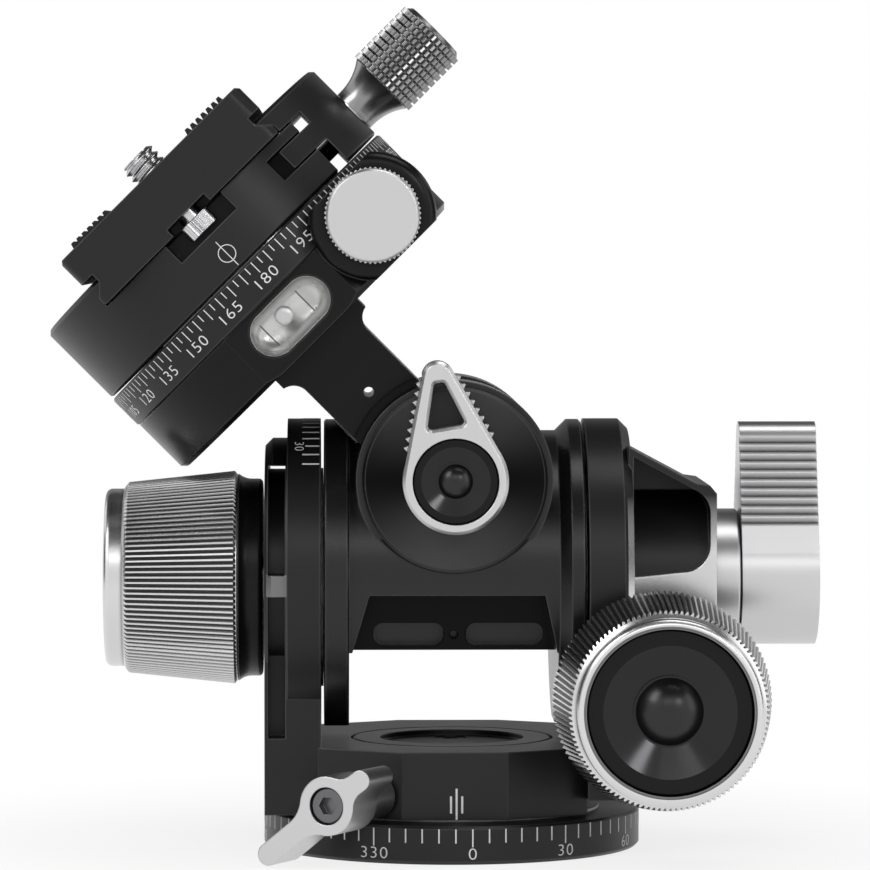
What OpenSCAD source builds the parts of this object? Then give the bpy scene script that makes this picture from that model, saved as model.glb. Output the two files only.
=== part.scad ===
// Geared tripod head: a panning base, a tilting body and a rolling arm, both driven by worms,
// and a panning quick-release clamp with its camera plate. Sizes in millimetres.
// The origin is the middle of the base's underside, on the pan axis. X runs along the tilt axis,
// Y along the roll axis, away from the front, and Z up. The arm leans to the left, as it is shown.

/* [Base] */
// Diameter of the base disc
base_d = 60.5; // [58:0.5:66]
// Height of the base disc
base_h = 6; // [5:0.25:8]
// Diameter of the hub that the frame turns on
hub_d = 24; // [20:0.5:26]
// Diameter of the tripod thread, 3/8 inch
thread_d = 9.525; // [6.35:0.005:9.525]
// Depth of the tripod thread
thread_l = 10; // [8:0.5:11]
// Wall of the steel insert round the tripod thread
insert_wall = 1.8; // [1.2:0.1:2.5]
// Diameter of the cap that keeps the frame on the hub
retainer_d = 32; // [29:0.5:33]
// Diameter of the round recess in that cap
retainer_recess_d = 23.4; // [22:0.2:25]

/* [Frame] */
// Height of the faceted frame base
frame_h = 10.65; // [10:0.05:12]
// Distance of the front facet from the pan axis
facet_y = 25; // [23:0.25:27]
// Distance of the back facet from the pan axis
back_y = 28; // [26:0.25:29]
// Half the width of the front facet
facet_hw = 8.3; // [6:0.1:10]
// Height of the tilt axis above the frame floor
tilt_rise = 25.9; // [25.85:0.05:28]
// Radius of the pillar's round disc plate
pillar_r = 25.6; // [24.5:0.1:26.5]
// Thickness of the pillar's disc plate
pillar_t = 5.3; // [4.5:0.1:7]
// Radius of the pillar's outer plate
outer_r = 22.5; // [20:0.25:24]
// Thickness of the pillar's outer plate
outer_t = 3.6; // [3.4:0.1:5]
// Width of the pillar's leg, front to back
leg_w = 36; // [32:0.5:40]
// Depth of the pockets milled in the pillar's edge
pocket_depth = 5; // [3:0.25:6]
// Thickness of the right bracket's round plate
bracket_t = 5; // [4:0.1:6.5]
// Length of the gear housing beyond that plate's bevel
housing_l = 13.5; // [13.2:0.1:16.5]
// Width of the gear housing, front to back
housing_w = 32; // [29:0.5:36]
// Height of the bracket's foot above the base disc
foot_lift = 3; // [1:0.25:4]
// Width of the bracket's foot, front to back
foot_w = 42; // [38:0.5:46]

/* [Tilting body] */
// Width of the tilting body between the two pillars
body_w = 41.2; // [40:0.1:44]
// Radius of the body's two flanges
flange_r = 25.5; // [24.5:0.1:25.5]
// Radius of the body between the flanges
body_r = 23.7; // [23:0.1:24.2]
// Thickness of the left flange
left_flange_t = 4; // [3:0.1:4.5]
// Thickness of the right flange
right_flange_t = 2.2; // [1.8:0.1:3]
// Depth of the flat cut under the flanges, from the tilt axis
flange_flat = 23; // [22:0.1:24]
// Depth of the body's underside, from the tilt axis
body_flat = 10.6; // [10.4:0.1:13]
// Radius of the barrel that carries the roll shaft
barrel_r = 15.5; // [15.2:0.05:15.8]
// Length of the barrel between its end caps
barrel_l = 45; // [44:0.5:50]
// Thickness of each barrel cap
cap_t = 2; // [1.6:0.1:3]
// Radius of the barrel's front cap
cap_r = 14.6; // [13.5:0.1:15]

/* [Worm drives] */
// Module of both worm drives
gear_module = 0.8; // [0.76:0.01:0.82]
// Teeth on each worm wheel
wheel_teeth = 30; // [29:1:30]
// Width of each worm wheel
wheel_w = 7; // [5:0.25:7.5]
// Pitch diameter of the roll worm
roll_worm_d = 9.6; // [9.4:0.1:10]
// Pitch diameter of the tilt worm
tilt_worm_d = 10.6; // [10.2:0.1:11.2]
// Length of each worm's thread
worm_l = 14; // [12:0.5:18]
// Diameter of both worm shafts
worm_shaft_d = 7; // [6:0.1:7.2]
// Diameter of the roll shaft
roll_shaft_d = 10; // [8:0.25:11]
// Diameter of the right trunnion
trunnion_d = 12; // [10:0.25:13]
// Outer diameter of the hollow left trunnion
sleeve_d = 18; // [15:0.25:19]
// Wall of the bushes
bush_wall = 2; // [1.5:0.1:2.5]

/* [Knobs and levers] */
// Largest diameter of the two drive knobs
knob_d = 34.4; // [33:0.2:35]
// Diameter of the drive knobs where their ribs end
knob_front_d = 30.6; // [29.5:0.2:31.6]
// Diameter of the black hub behind the ribs
knob_hub_d = 31.8; // [30:0.2:33]
// Length of the ribbed band
knob_band_l = 18.6; // [16:0.1:20]
// Length of the smooth front ring
knob_ring_l = 2.8; // [2:0.1:4]
// Length of that hub
knob_hub_l = 3.9; // [3.4:0.1:4.4]
// Ribs round each drive knob
knob_ribs = 90; // [60:2:100]
// Diameter of the black dished cap in each drive knob
knob_cap_d = 25.4; // [23:0.2:26.4]
// Radius of the front lever's round end
front_lever_r = 8.35; // [8:0.05:9]
// Reach of the front lever from its axis
front_lever_reach = 19.1; // [18.5:0.1:21]
// Thickness of the front lever
front_lever_t = 5.6; // [4.8:0.1:7]
// Lean of the front lever to the left, in degrees
front_lever_lean = 9.7; // [0:0.1:20]
// Radius of the right lever's round end
side_lever_r = 10.9; // [10:0.1:11.5]
// Reach of the right lever from its axis
side_lever_reach = 25.1; // [23:0.1:28]
// Thickness of the right lever
side_lever_t = 12.4; // [10:0.1:13]
// Length of the collar under the right lever
collar_l = 4.3; // [3:0.1:5]
// Bearing of the pan lock, to the left of the front, in degrees
wing_bearing = 28; // [26:0.5:32]
// Distance of the wing lever's front from the pan axis
wing_out = 43; // [42:0.25:46]
// Thickness of the wings
wing_t = 8; // [6:0.25:9]
// Length of the long wing
wing_long = 14.8; // [12:0.1:15]
// Length of the short wing
wing_short = 8.8; // [8.2:0.1:10]

/* [Arm and panning top] */
// Lean of the arm to the left, in degrees
arm_lean = 45; // [30:1:45]
// Travel of the arm from there to the right, in degrees
roll_travel = 75; // [60:1:75]
// Width of the arm
arm_w = 13.8; // [12:0.1:14.4]
// Width of the arm's head under the panning base
arm_head_w = 18.4; // [17:0.1:18.8]
// Depth of the arm's neck in the body's slot, front to back
neck_d = 19; // [17:0.25:20]
// Depth of the arm's upper part, front to back
arm_d = 24; // [22:0.25:26]
// Radius about the roll axis where the neck ends
neck_r = 16.9; // [16.6:0.1:17.6]
// Height of the panning base's underside above the roll axis
pan_rise = 30.9; // [30.5:0.1:33]
// Height of the panning base
pan_h = 10.1; // [9.6:0.1:11]
// Radius of the panning base
pan_r = 30; // [29.4:0.1:30.4]
// Radius of the scale ring
scale_r = 30.2; // [29.8:0.1:30.6]
// Height of the scale ring
scale_h = 5.9; // [5:0.1:7]
// Radius of the clamp's spindle
spindle_r = 18.5; // [18:0.1:18.8]
// Distance of the top lock's axis to the side
lock_x = 20.1; // [19.6:0.1:20.2]
// Height of the top lock's axis above the panning base's underside
lock_h = 7.5; // [7.3:0.1:7.7]
// Diameter of the top lock's knob
lock_knob_d = 15; // [13:0.2:16]
// Length of the level's window
level_l = 15; // [13:0.1:17]
// Height of the level's window
level_h = 7.8; // [6.5:0.1:8]

/* [Clamp and plate] */
// Radius of the clamp
clamp_r = 30; // [29.5:0.1:31]
// Height of the clamp under the plate
clamp_floor_h = 10.4; // [10:0.1:12]
// Height of the clamp's lips above its floor
lip_h = 4.15; // [3.8:0.05:4.5]
// Width of the camera plate
plate_w = 39; // [38:0.1:40]
// Width of the plate's dovetail foot
foot_dovetail_w = 38; // [37:0.1:38]
// Height of the camera plate
plate_h = 9.6; // [9:0.1:12]
// Length of the camera plate
plate_l = 61; // [57:0.5:64]
// Reach of the jaw from the pan axis to its inner face
jaw_x = 23.6; // [23:0.1:24.5]
// Width of the slit between clamp and jaw
jaw_slit = 2.2; // [1.5:0.1:3]
// Travel of the jaw as it opens
jaw_travel = 3; // [2:0.25:3]
// Diameter of the clamp's screw
clamp_screw_d = 6; // [5:0.1:6.5]
// Height of the clamp's screw above the clamp's underside
screw_rise = 5; // [4.8:0.1:5.4]
// Diameter of the clamp's knob
clamp_knob_d = 12.2; // [11:0.2:13]
// Length of the clamp's knob with its neck
clamp_knob_l = 18.4; // [17:0.1:21]
// Diameter of the camera screw, 1/4 inch
camera_screw_d = 6.35; // [5:0.05:6.35]
// Height of the camera screw above the plate
camera_screw_h = 4.4; // [3.5:0.1:6]

/* [Fits] */
// Radial clearance of what turns in a bush
run_fit = 0.04; // [0.02:0.01:0.1]
// Gap between faces that pass each other
pass_gap = 0.4; // [0.35:0.05:0.6]
// Gap at a face that only slides
slide_gap = 0.05; // [0.02:0.01:0.1]
// Gap round a piece that is pressed or screwed into place
seat_gap = 0.02; // [0.01:0.01:0.04]
// Thickness of the slip washers
washer_t = 0.4; // [0.3:0.05:0.6]

/* [Hidden] */
$fn = 96;

// Levels from the base upwards
hub_r = hub_d / 2;
frame_z = base_h + washer_t + slide_gap;
floor_z = frame_z + frame_h;
retainer_t = 3.6;
retainer_z = floor_z - retainer_t;
ledge_z = retainer_z - washer_t - slide_gap;
tilt_z = floor_z + tilt_rise;
wing_z = frame_z + 3.7;

// Stations along the tilt axis
body_x = body_w / 2;
pillar_x1 = -body_x - washer_t - 2 * slide_gap;
pillar_x0 = pillar_x1 - pillar_t;
outer_x0 = pillar_x0 - outer_t;
bracket_x0 = -pillar_x1;
bracket_x1 = bracket_x0 + bracket_t;
bevel_l = 2.1;
housing_x0 = bracket_x1 + bevel_l;
housing_x1 = housing_x0 + housing_l;
collar_x1 = housing_x1 + collar_l;
side_lever_x0 = collar_x1 + pass_gap / 2;
washer_r = 17.6;

// Worm drives
wheel_r = gear_module * wheel_teeth / 2;
wheel_tip_r = wheel_r + 0.9 * gear_module;
wheel_cavity_r = wheel_tip_r + pass_gap;
roll_rise = wheel_r + roll_worm_d / 2;
roll_z = tilt_z + roll_rise;
tilt_worm_z = tilt_z - wheel_r - tilt_worm_d / 2;
tilt_wheel_x = housing_x0 + 3.9;
worm_pitch = PI * gear_module;
worm_shaft_r = worm_shaft_d / 2;
thread_out = 0.88 * gear_module;
roll_shaft_r = roll_shaft_d / 2;
trunnion_r = trunnion_d / 2;
stud_r = trunnion_r - 2;
sleeve_r = sleeve_d / 2;
worm_seat = worm_l / 2 + 1.5;

// Knobs, in their own frames: the hub starts at 0 and the front looks along +Z
knob_l = knob_hub_l + knob_band_l + knob_ring_l;
knob_cap_t = 5.6;
knob_hub_r = knob_hub_d / 2;
roll_knob_x = outer_x0 - pass_gap;
barrel_half = barrel_l / 2;
tilt_knob_y = -pillar_r - pass_gap;

// Roll slot
slot_half = neck_d / 2 + pass_gap;
arm_half = arm_d / 2 + pass_gap;
arm_hub_r = 9.4;
roll_right = roll_travel - arm_lean;

// Heights above the roll axis
pan_top = pan_rise + pan_h;
scale_z = pan_top + slide_gap;
clamp_z = scale_z + scale_h + pass_gap - slide_gap;
clamp_floor = clamp_z + clamp_floor_h;
clamp_top = clamp_floor + lip_h;
plate_z = clamp_floor + 0.2;
plate_top = plate_z + plate_h;
lock_z = pan_rise + lock_h;
screw_z = clamp_z + screw_rise;
jaw_slit_x = jaw_x - jaw_slit;
dovetail_hw = foot_dovetail_w / 2;
dovetail_gap = 0.2;
dovetail_edge = 1.3;
dovetail_rise = 1.9;
level_y = -pan_r + 1.7;
level_rise = 5.5;
level_depth = 4;
wing_foot = facet_y * cos(wing_bearing) + facet_hw * sin(wing_bearing);

// Places and directions
module along_x() rotate([0, 90, 0]) children();
module along_y() rotate([-90, 0, 0]) children();
module outward() rotate([90, 0, 0]) children();
module at_tilt() translate([0, 0, tilt_z]) children();
module at_roll() translate([0, 0, roll_z]) children();
module at_arm() at_roll() rotate([0, -arm_lean, 0]) children();
module at_tilt_worm() translate([tilt_wheel_x, 0, tilt_worm_z]) children();
module at_wing() rotate([0, 0, -wing_bearing]) translate([0, 0, wing_z]) children();
module at_lock() at_arm() translate([lock_x, 0, lock_z]) children();
module at_clamp_screw() at_arm() translate([0, 0, screw_z]) children();
module both_ends() for (side = [-1, 1]) scale([1, side, 1]) children();

// A round bar along Z between two levels, with a bevel at each end
module bar(r, z0, z1, c0 = 0, c1 = 0) {
  lower = c0 > 0 ? [[r - c0, z0], [r, z0 + c0]] : [[r, z0]];
  upper = c1 > 0 ? [[r, z1 - c1], [r - c1, z1]] : [[r, z1]];
  rotate_extrude() polygon(concat([[0, z0]], lower, upper, [[0, z1]]));
}

// A round tube along Z between two levels
module tube(r_out, r_in, z0, z1) {
  rotate_extrude() translate([r_in, z0]) square([r_out - r_in, z1 - z0]);
}

// A straight-sided worm wheel outline, with a gap between teeth on the -Y side
module wheel_outline() {
  root_r = wheel_r - 1.2 * gear_module;
  root_half = 0.84 * gear_module / root_r * 180 / PI;
  tip_half = 0.26 * gear_module / wheel_tip_r * 180 / PI;
  step = 360 / wheel_teeth;
  polygon([for (i = [0 : wheel_teeth - 1], corner = [[root_r, -root_half], [wheel_tip_r, -tip_half],
                                                    [wheel_tip_r, tip_half], [root_r, root_half]])
    let (a = -90 + (i + 0.5) * step + corner[1]) [corner[0] * cos(a), corner[0] * sin(a)]]);
}

// A round stretch of the worm's section: points [angle, radius] from one pair to the next
function section_run(from, to, steps) = [for (k = [0 : steps - 1]) from + (to - from) * k / steps];

// The single-start thread of a worm along Z, right-handed: its crest passes Z = 0 on the +X side
module worm_thread(pitch_r) {
  turns = worm_l / worm_pitch;
  crest = [360 * 0.18 / PI, pitch_r + thread_out];
  root = [360 * 0.98 / PI, pitch_r - 1.2 * gear_module];
  far_root = [360 - root[0], root[1]];
  far_crest = [360 - crest[0], crest[1]];
  section = concat([[0, crest[1]]], section_run(crest, root, 4), section_run(root, far_root, 4),
    section_run(far_root, far_crest, 4), [far_crest]);
  linear_extrude(worm_l, center = true, twist = -360 * turns, slices = ceil(12 * turns), $fn = 12)
    rotate(-180 * turns) polygon([for (p = section) [p[1] * cos(p[0]), p[1] * sin(p[0])]]);
}

// A ribbed round outline
module ribbed_outline(r, ribs, depth) {
  polygon([for (i = [0 : 2 * ribs - 1])
    let (rr = r - (i % 2) * depth, a = i * 180 / ribs) [rr * cos(a), rr * sin(a)]]);
}

// A round end and a smaller one further along +Y, joined by straight edges that bite a little into both
module drop_outline(r, tip_r, reach) {
  bite = 0.02;
  far = reach - tip_r;
  lean = asin((r - tip_r) / far);
  low = (r - bite) * [cos(lean), sin(lean)];
  high = [0, far] + (tip_r - bite) * [cos(lean), sin(lean)];
  circle(r);
  translate([0, far]) circle(tip_r);
  polygon([low, high, [-high[0], high[1]], [-low[0], low[1]]]);
}

// A lever outline: a drop with V notches along both straight edges, as [count, pitch, depth, start]
module lever_outline(r, tip_r, reach, notch) {
  pitch = notch[1];
  notch_depth = notch[2];
  far = reach - tip_r;
  lean = asin((r - tip_r) / far);
  edge_l = far * cos(lean);
  half = 0.46 * pitch;
  difference() {
    drop_outline(r, tip_r, reach);
    for (side = [-1, 1], i = [0 : notch[0] - 1])
      scale([side, 1]) rotate(lean) translate([r, edge_l - notch[3] - (i + 0.5) * pitch])
        polygon([[-notch_depth, 0], [notch_depth, -2 * half], [notch_depth, 2 * half]]);
  }
}

// The dished face and domed button of a knob or lever cap, looking along +Z, with its rim at 0
module dished_cap(rim_r, dish_r, ball_r, depth, seat) {
  floor_r = ball_r + 0.35;
  rotate_extrude() difference() {
    polygon([[0, -seat], [rim_r, -seat], [rim_r, -0.3], [rim_r - 0.3, 0], [dish_r, 0],
      [floor_r, -depth], [0, -depth]]);
    translate([-rim_r, -seat - 1]) square([rim_r, seat + 2]);
  }
  intersection() {
    translate([0, 0, -depth - 0.1]) sphere(ball_r);
    bar(ball_r + 1, -depth - 0.2, 1);
  }
}

// Screws, each as [head radius, head height, shank radius, shank length]
retainer_screw = [2.6, 1.3, 1.25, 5];
bracket_screw = [3.5, 3, 1.75, 11.5];
rear_screw = [2.1, cap_t - 0.2, 1.05, 6];
arm_screw = [2.9, 1.6, 1.65, 8.5];
spindle_screw = [2.8, 2.4, 1.45, clamp_floor_h + 3];

// Gaps round a screw: at its thread, at its shank in a through hole and at its head
thread_gap = 0.05;
shank_gap = 0.35;
head_gap = 0.2;

// A cap screw whose head ends at 0 and whose shank points along -Z
module cap_screw(size) {
  head_r = size[0];
  head_h = size[1] - seat_gap;
  shank_r = size[2];
  shank_l = size[3];
  difference() {
    union() {
      bar(head_r, -head_h, 0, 0, 0.2);
      bar(shank_r, -head_h - shank_l, -head_h + 0.1);
    }
    translate([0, 0, -head_h * 0.6]) cylinder(r = head_r * 0.55, h = head_h, $fn = 6);
  }
}

// Base

insert_r = thread_d / 2 + insert_wall;
recess_depth = 0.9;
retainer_sink = 1.5;
retainer_screw_r = hub_r - 3.5;
retainer_screw_at = [for (i = [0 : 2]) [0, 0, 90 + i * 120]];

module base_disc() {
  color("#1b1c1e") difference() {
    union() {
      bar(base_d / 2, 0, base_h, 0.5, 0.4);
      bar(hub_r, base_h - 0.5, retainer_z - seat_gap);
    }
    bar(insert_r + seat_gap, -1, thread_l);
    for (turn = retainer_screw_at) rotate(turn) translate([retainer_screw_r, 0, retainer_z])
      bar(retainer_screw[2] + thread_gap, -retainer_screw[3] - 1, 1);
  }
}

module tripod_insert() {
  color("#b9bcc0") tube(insert_r, thread_d / 2, 0, thread_l);
}

module pan_washer() {
  color("#e8e6df") tube(facet_y - 1.2, hub_r + pass_gap, base_h, base_h + washer_t);
  color("#e8e6df") tube(retainer_d / 2 - 0.6, hub_r + pass_gap, retainer_z - washer_t, retainer_z - seat_gap);
}

module pan_retainer() {
  color("#202124") difference() {
    bar(retainer_d / 2, retainer_z, floor_z, 0, 0.3);
    bar(retainer_recess_d / 2, floor_z - recess_depth, floor_z + 1);
    for (turn = retainer_screw_at) rotate(turn) translate([retainer_screw_r, 0, 0]) {
      bar(retainer_screw[2] + shank_gap, 0, floor_z);
      bar(retainer_screw[0] + head_gap, floor_z - recess_depth - retainer_sink, floor_z);
    }
  }
}

module retainer_screws() {
  color("#8e9196") for (turn = retainer_screw_at) rotate(turn)
    translate([retainer_screw_r, 0, floor_z - recess_depth - retainer_sink + retainer_screw[1]])
      cap_screw(retainer_screw);
}

// Frame

// Plan of the frame's base: a front and a back facet, with a slanting one on each side
module frame_plan() {
  left_dy = (-outer_x0 - facet_hw) * tan(wing_bearing);
  right_dy = (bracket_x0 - facet_hw) * tan(wing_bearing);
  polygon([[-facet_hw, -facet_y], [facet_hw, -facet_y], [bracket_x0, right_dy - facet_y],
    [bracket_x0, back_y - right_dy], [facet_hw, back_y], [-facet_hw, back_y], [outer_x0, back_y - left_dy],
    [outer_x0, left_dy - facet_y]]);
}

// Side of the outer plate, or of the space inside its milled edge
module outer_side(inset) {
  circle(outer_r - inset);
  translate([-leg_w / 2 + inset, frame_z - tilt_z]) square([leg_w - 2 * inset, tilt_z - frame_z]);
}

module side_extrude(x0, x1) translate([x0, 0, tilt_z]) rotate([90, 0, 90]) linear_extrude(x1 - x0) children();

// The pockets milled along the outer plate's edge, one above the tilt axis and one below it
module edge_pockets() {
  wall = 0.6;
  bar_half = 1.7;
  top_rim = 4;
  spans = [[bar_half, outer_r - top_rim], [floor_z + 1.5 - tilt_z, -bar_half]];
  for (span = spans) side_extrude(outer_x0 + wall, pillar_x0 - wall / 2) difference() {
    translate([-outer_r - 1, span[0]]) square([2 * outer_r + 2, span[1] - span[0]]);
    outer_side(pocket_depth);
  }
}

bracket_screw_at = [for (y = [-12, 12]) [0, y, frame_z + frame_h * 0.55]];
bracket_screw_seat = 3.5;
left_bush_r = sleeve_r + bush_wall;

module main_frame() {
  color("#17181a") difference() {
    union() {
      translate([0, 0, frame_z]) linear_extrude(frame_h) frame_plan();
      side_extrude(pillar_x0, pillar_x1) circle(pillar_r);
      translate([outer_x0, -leg_w / 2, frame_z]) cube([pillar_x1 - outer_x0, leg_w, tilt_z - frame_z]);
      at_tilt() along_x() bar(outer_r, outer_x0, pillar_x0 + 0.1, 1.2);
    }
    edge_pockets();
    bar(hub_r + run_fit, 0, floor_z);
    bar(retainer_d / 2 + pass_gap, ledge_z, floor_z + 1);
    at_tilt() along_x() bar(left_bush_r + seat_gap, outer_x0 - 1, pillar_x1 + 1);
    at_wing() outward() bar(wing_screw_r + run_fit, hub_r - 1, facet_y + 6);
    at_wing() outward() bar(shoe_r + seat_gap, hub_r - 3, hub_r + shoe_l);
    for (place = bracket_screw_at) translate(place) along_x()
      bar(bracket_screw[2] + thread_gap, bracket_x0 - 9, bracket_x0 + 1);
  }
}

right_bush_r = trunnion_r + bush_wall;
tilt_bush_r = worm_shaft_r + bush_wall;
worm_casing_r = tilt_worm_d / 2 + thread_out + 3;
casing_r = wheel_cavity_r + 1.4;
housing_hw = housing_w / 2;

housing_peak = [housing_x0 - 0.5, 21.6];
housing_shoulder = [housing_x1 - 3.2, 15.8];

// Front view of the gear housing's rim, from the tilt axis
module housing_outline() {
  polygon([housing_peak, housing_shoulder, [housing_x1 - 1.1, 15.5], [housing_x1, 14.2], [housing_x1, -11],
    [housing_x1 - 5, -16], [housing_peak[0], -16]]);
}

// The pocket inside that rim: straight on the left, with round corners on the right
module housing_pocket() {
  rim = 1;
  corner_r = 4.4;
  top_r = 4;
  left = housing_x0 + 0.3;
  right = housing_x1 - rim;
  floor_y = 0.9;
  fall = housing_peak - housing_shoulder;
  slope = atan2(fall[1], -fall[0]);
  top_x = right - top_r;
  rim_y = housing_shoulder[1] + (housing_shoulder[0] - top_x) * tan(slope);
  top_mid = [top_x, rim_y - (top_r + rim) / cos(slope)];
  low_mid = [right - corner_r, floor_y + 0.8 + corner_r];
  translate(low_mid) circle(corner_r);
  translate(top_mid) circle(top_r);
  polygon([[left, floor_y], [low_mid[0], low_mid[1] - corner_r], low_mid, [right, low_mid[1]],
    [right, top_mid[1]], top_mid, top_mid + top_r * [sin(slope), cos(slope)],
    [left, top_mid[1] + top_r * cos(slope) + (top_mid[0] + top_r * sin(slope) - left) * tan(slope)]]);
}

module front_extrude(y0, y1) translate([0, y1, 0]) rotate([90, 0, 0]) linear_extrude(y1 - y0) children();

// The worm's casing below the wheel
module worm_casing() {
  at_tilt_worm() along_y() bar(worm_casing_r, -pillar_r, pillar_r, 0.6, 0.6);
  translate([tilt_wheel_x - worm_casing_r, -8, tilt_worm_z])
    cube([2 * worm_casing_r, 16, tilt_z - tilt_worm_z]);
}

module right_bracket() {
  foot_z = base_h + foot_lift;
  pocket_floor = 3;
  color("#17181a") difference() {
    union() {
      at_tilt() along_x() bar(pillar_r, bracket_x0, housing_x0, 0, bevel_l * 0.7);
      translate([bracket_x0, -foot_w / 2, foot_z]) cube([bracket_t + bevel_l, foot_w, tilt_z - foot_z - 12]);
      difference() {
        at_tilt() front_extrude(-housing_hw, housing_hw) housing_outline();
        both_ends() at_tilt() front_extrude(-housing_hw - 1, -pocket_floor) housing_pocket();
      }
      at_tilt() along_x() bar(casing_r, housing_x0 - 0.1, housing_x1);
      worm_casing();
    }
    at_tilt() along_x() bar(right_bush_r + seat_gap, bracket_x0 - 1, housing_x0 + 1);
    translate([tilt_wheel_x, 0, tilt_z]) along_x()
      bar(wheel_cavity_r, -wheel_w / 2 - pass_gap, wheel_w / 2 + pass_gap);
    at_tilt() along_x() bar(stud_r + pass_gap, tilt_wheel_x, housing_x1 + 1);
    at_tilt_worm() along_y() bar(tilt_worm_d / 2 + thread_out + pass_gap, -worm_seat, worm_seat);
    at_tilt_worm() along_y() bar(tilt_bush_r + seat_gap, -pillar_r - 1, pillar_r + 1);
    for (place = bracket_screw_at) translate(place) along_x() {
      bar(bracket_screw[2] + shank_gap, bracket_x0 - 1, housing_x1);
      bar(bracket_screw[0] + head_gap, bracket_x0 + bracket_screw_seat, housing_x1);
    }
  }
}

module bracket_screws() {
  color("#6d7075") for (place = bracket_screw_at) translate(place)
    translate([bracket_x0 + bracket_screw_seat + bracket_screw[1], 0, 0]) along_x() cap_screw(bracket_screw);
}

module left_bush() {
  color("#b08d4a") at_tilt() along_x() tube(left_bush_r, sleeve_r + run_fit, outer_x0 + 1, pillar_x1);
}

module right_bush() {
  color("#b08d4a") at_tilt() along_x()
    tube(right_bush_r, trunnion_r + run_fit, bracket_x0, tilt_wheel_x - wheel_w / 2 - pass_gap);
}

module thrust_washers() {
  color("#d8d4c8") for (x0 = [pillar_x1, bracket_x0 - washer_t]) at_tilt() along_x()
    tube(washer_r, left_bush_r + seat_gap, x0, x0 + washer_t);
}

module tilt_worm_bushes() {
  color("#b08d4a") both_ends() at_tilt_worm() along_y()
    tube(tilt_bush_r, worm_shaft_r + run_fit, worm_seat + bush_gap, pillar_r - 0.5);
}

module worm_rear_cover() {
  color("#1b1c1e") at_tilt_worm() along_y() bar(worm_casing_r - 0.6, pillar_r, pillar_r + 2, 0, 0.6);
}

module lever_collar() {
  color("#a9acb0") at_tilt() along_x() difference() {
    bar(side_lever_r + 0.1, housing_x1, collar_x1, 0.3, 0.3);
    bar(stud_r + pass_gap, housing_x1 - 1, collar_x1 + 1);
  }
}

wing_screw_r = 2;
wing_head_r = 2.75;
wing_head_h = 2.4;
wing_screw_sink = 0.4;
shoe_r = 2.6;
shoe_l = 5;
wing_boss_r = 4.6;
wing_stem_r = 3.5;

module pan_lock_shoe() {
  color("#b08d4a") difference() {
    at_wing() outward() bar(shoe_r, hub_r - 2, hub_r + shoe_l - 0.4);
    bar(hub_r + slide_gap, 0, floor_z);
  }
}

// A wing along +X with a round end, faired into the boss by a hollow curve on each side
module wing_half(reach, half, fair_r) {
  at_x = sqrt(pow(wing_boss_r + fair_r, 2) - pow(half + fair_r, 2));
  meet = wing_boss_r / (wing_boss_r + fair_r);
  translate([reach - half, 0]) circle(half);
  translate([0, -half]) square([reach - half, 2 * half]);
  for (side = [-1, 1]) scale([1, side]) difference() {
    polygon([[0, 0], [at_x, 0], [at_x, half], [at_x * meet, (half + fair_r) * meet]]);
    translate([at_x, half + fair_r]) circle(fair_r);
  }
}

// Wings in front view: the long one points down to the left, the short one up to the right
module wing_outline() {
  circle(wing_boss_r);
  rotate(180 + 38) wing_half(wing_long, 1.75, 5);
  rotate(36) wing_half(wing_short, 1.6, 3);
}

module wing_lever() {
  color("#c4c6c9") at_wing() outward() difference() {
    union() {
      translate([0, 0, wing_out - wing_t]) linear_extrude(wing_t) wing_outline();
      bar(wing_stem_r, wing_foot + pass_gap, wing_out - wing_t + 0.1, 0.3);
    }
    bar(wing_screw_r + seat_gap, 0, wing_out + 1);
    bar(wing_head_r + head_gap, wing_out - wing_head_h - wing_screw_sink, wing_out + 1);
  }
}

module wing_screw() {
  shank_l = wing_out - wing_head_h - hub_r - shoe_l - wing_screw_sink;
  color("#8e9196") at_wing() outward() translate([0, 0, wing_out - wing_screw_sink])
    cap_screw([wing_head_r, wing_head_h, wing_screw_r, shank_l]);
}

// Tilting body

// Space that the arm sweeps between its two limits, half a depth each way
module arm_sweep(half, grow) {
  reach = 60;
  w = arm_w / 2 + grow;
  left = [-w * cos(arm_lean), -w * sin(arm_lean)];
  right = [w * cos(roll_right), -w * sin(roll_right)];
  at_roll() front_extrude(-half, half)
    polygon([left, left + reach * [-sin(arm_lean), cos(arm_lean)],
      right + reach * [sin(roll_right), cos(roll_right)], right]);
}

module barrel_space(r, half) at_roll() along_y() bar(r, -half, half);

web_half = 15;

// The hollow under the body, flared at the sides, in front of the web
module under_scoop() {
  top_z = -1.4;
  low_z = -body_flat - 1;
  front_extrude(-flange_r - 1, -web_half)
    polygon([[-body_x + 7.2, top_z], [body_x - 6.4, top_z], [body_x - 4.2, low_z], [-body_x + 4.2, low_z]]);
}

// The two round-cornered pockets in the web's front
module web_pocket(x0, x1) {
  corner = 1.6;
  z0 = -body_flat + 0.5;
  z1 = -body_flat + 4.3;
  y0 = -web_half - 0.5;
  y1 = -web_half + 4;
  front_extrude(y0, y1) for (x = [x0 + corner, x1 - corner]) {
    translate([x, z0 + corner]) circle(corner);
    translate([x, z1 - corner]) circle(corner);
  }
  front_extrude(y0, y1) translate([x0 + corner, z0]) square([x1 - x0 - 2 * corner, z1 - z0]);
  front_extrude(y0, y1) translate([x0, z0 + corner]) square([x1 - x0, z1 - z0 - 2 * corner]);
}

roll_bush_r = roll_shaft_r + bush_wall;
worm_bush_r = worm_shaft_r + bush_wall;
roll_tunnel_r = roll_worm_d / 2 + thread_out + pass_gap;
sleeve_in = 8;
trunnion_in = 5;
roll_worm_bush_l = 5;
bush_gap = 0.2;
cap_screw_ring = 10.8;
web_hole_r = 0.65;
web_hole_rise = 2.4;
cap_screw_turns = [45, 135, 225, 315];

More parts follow.
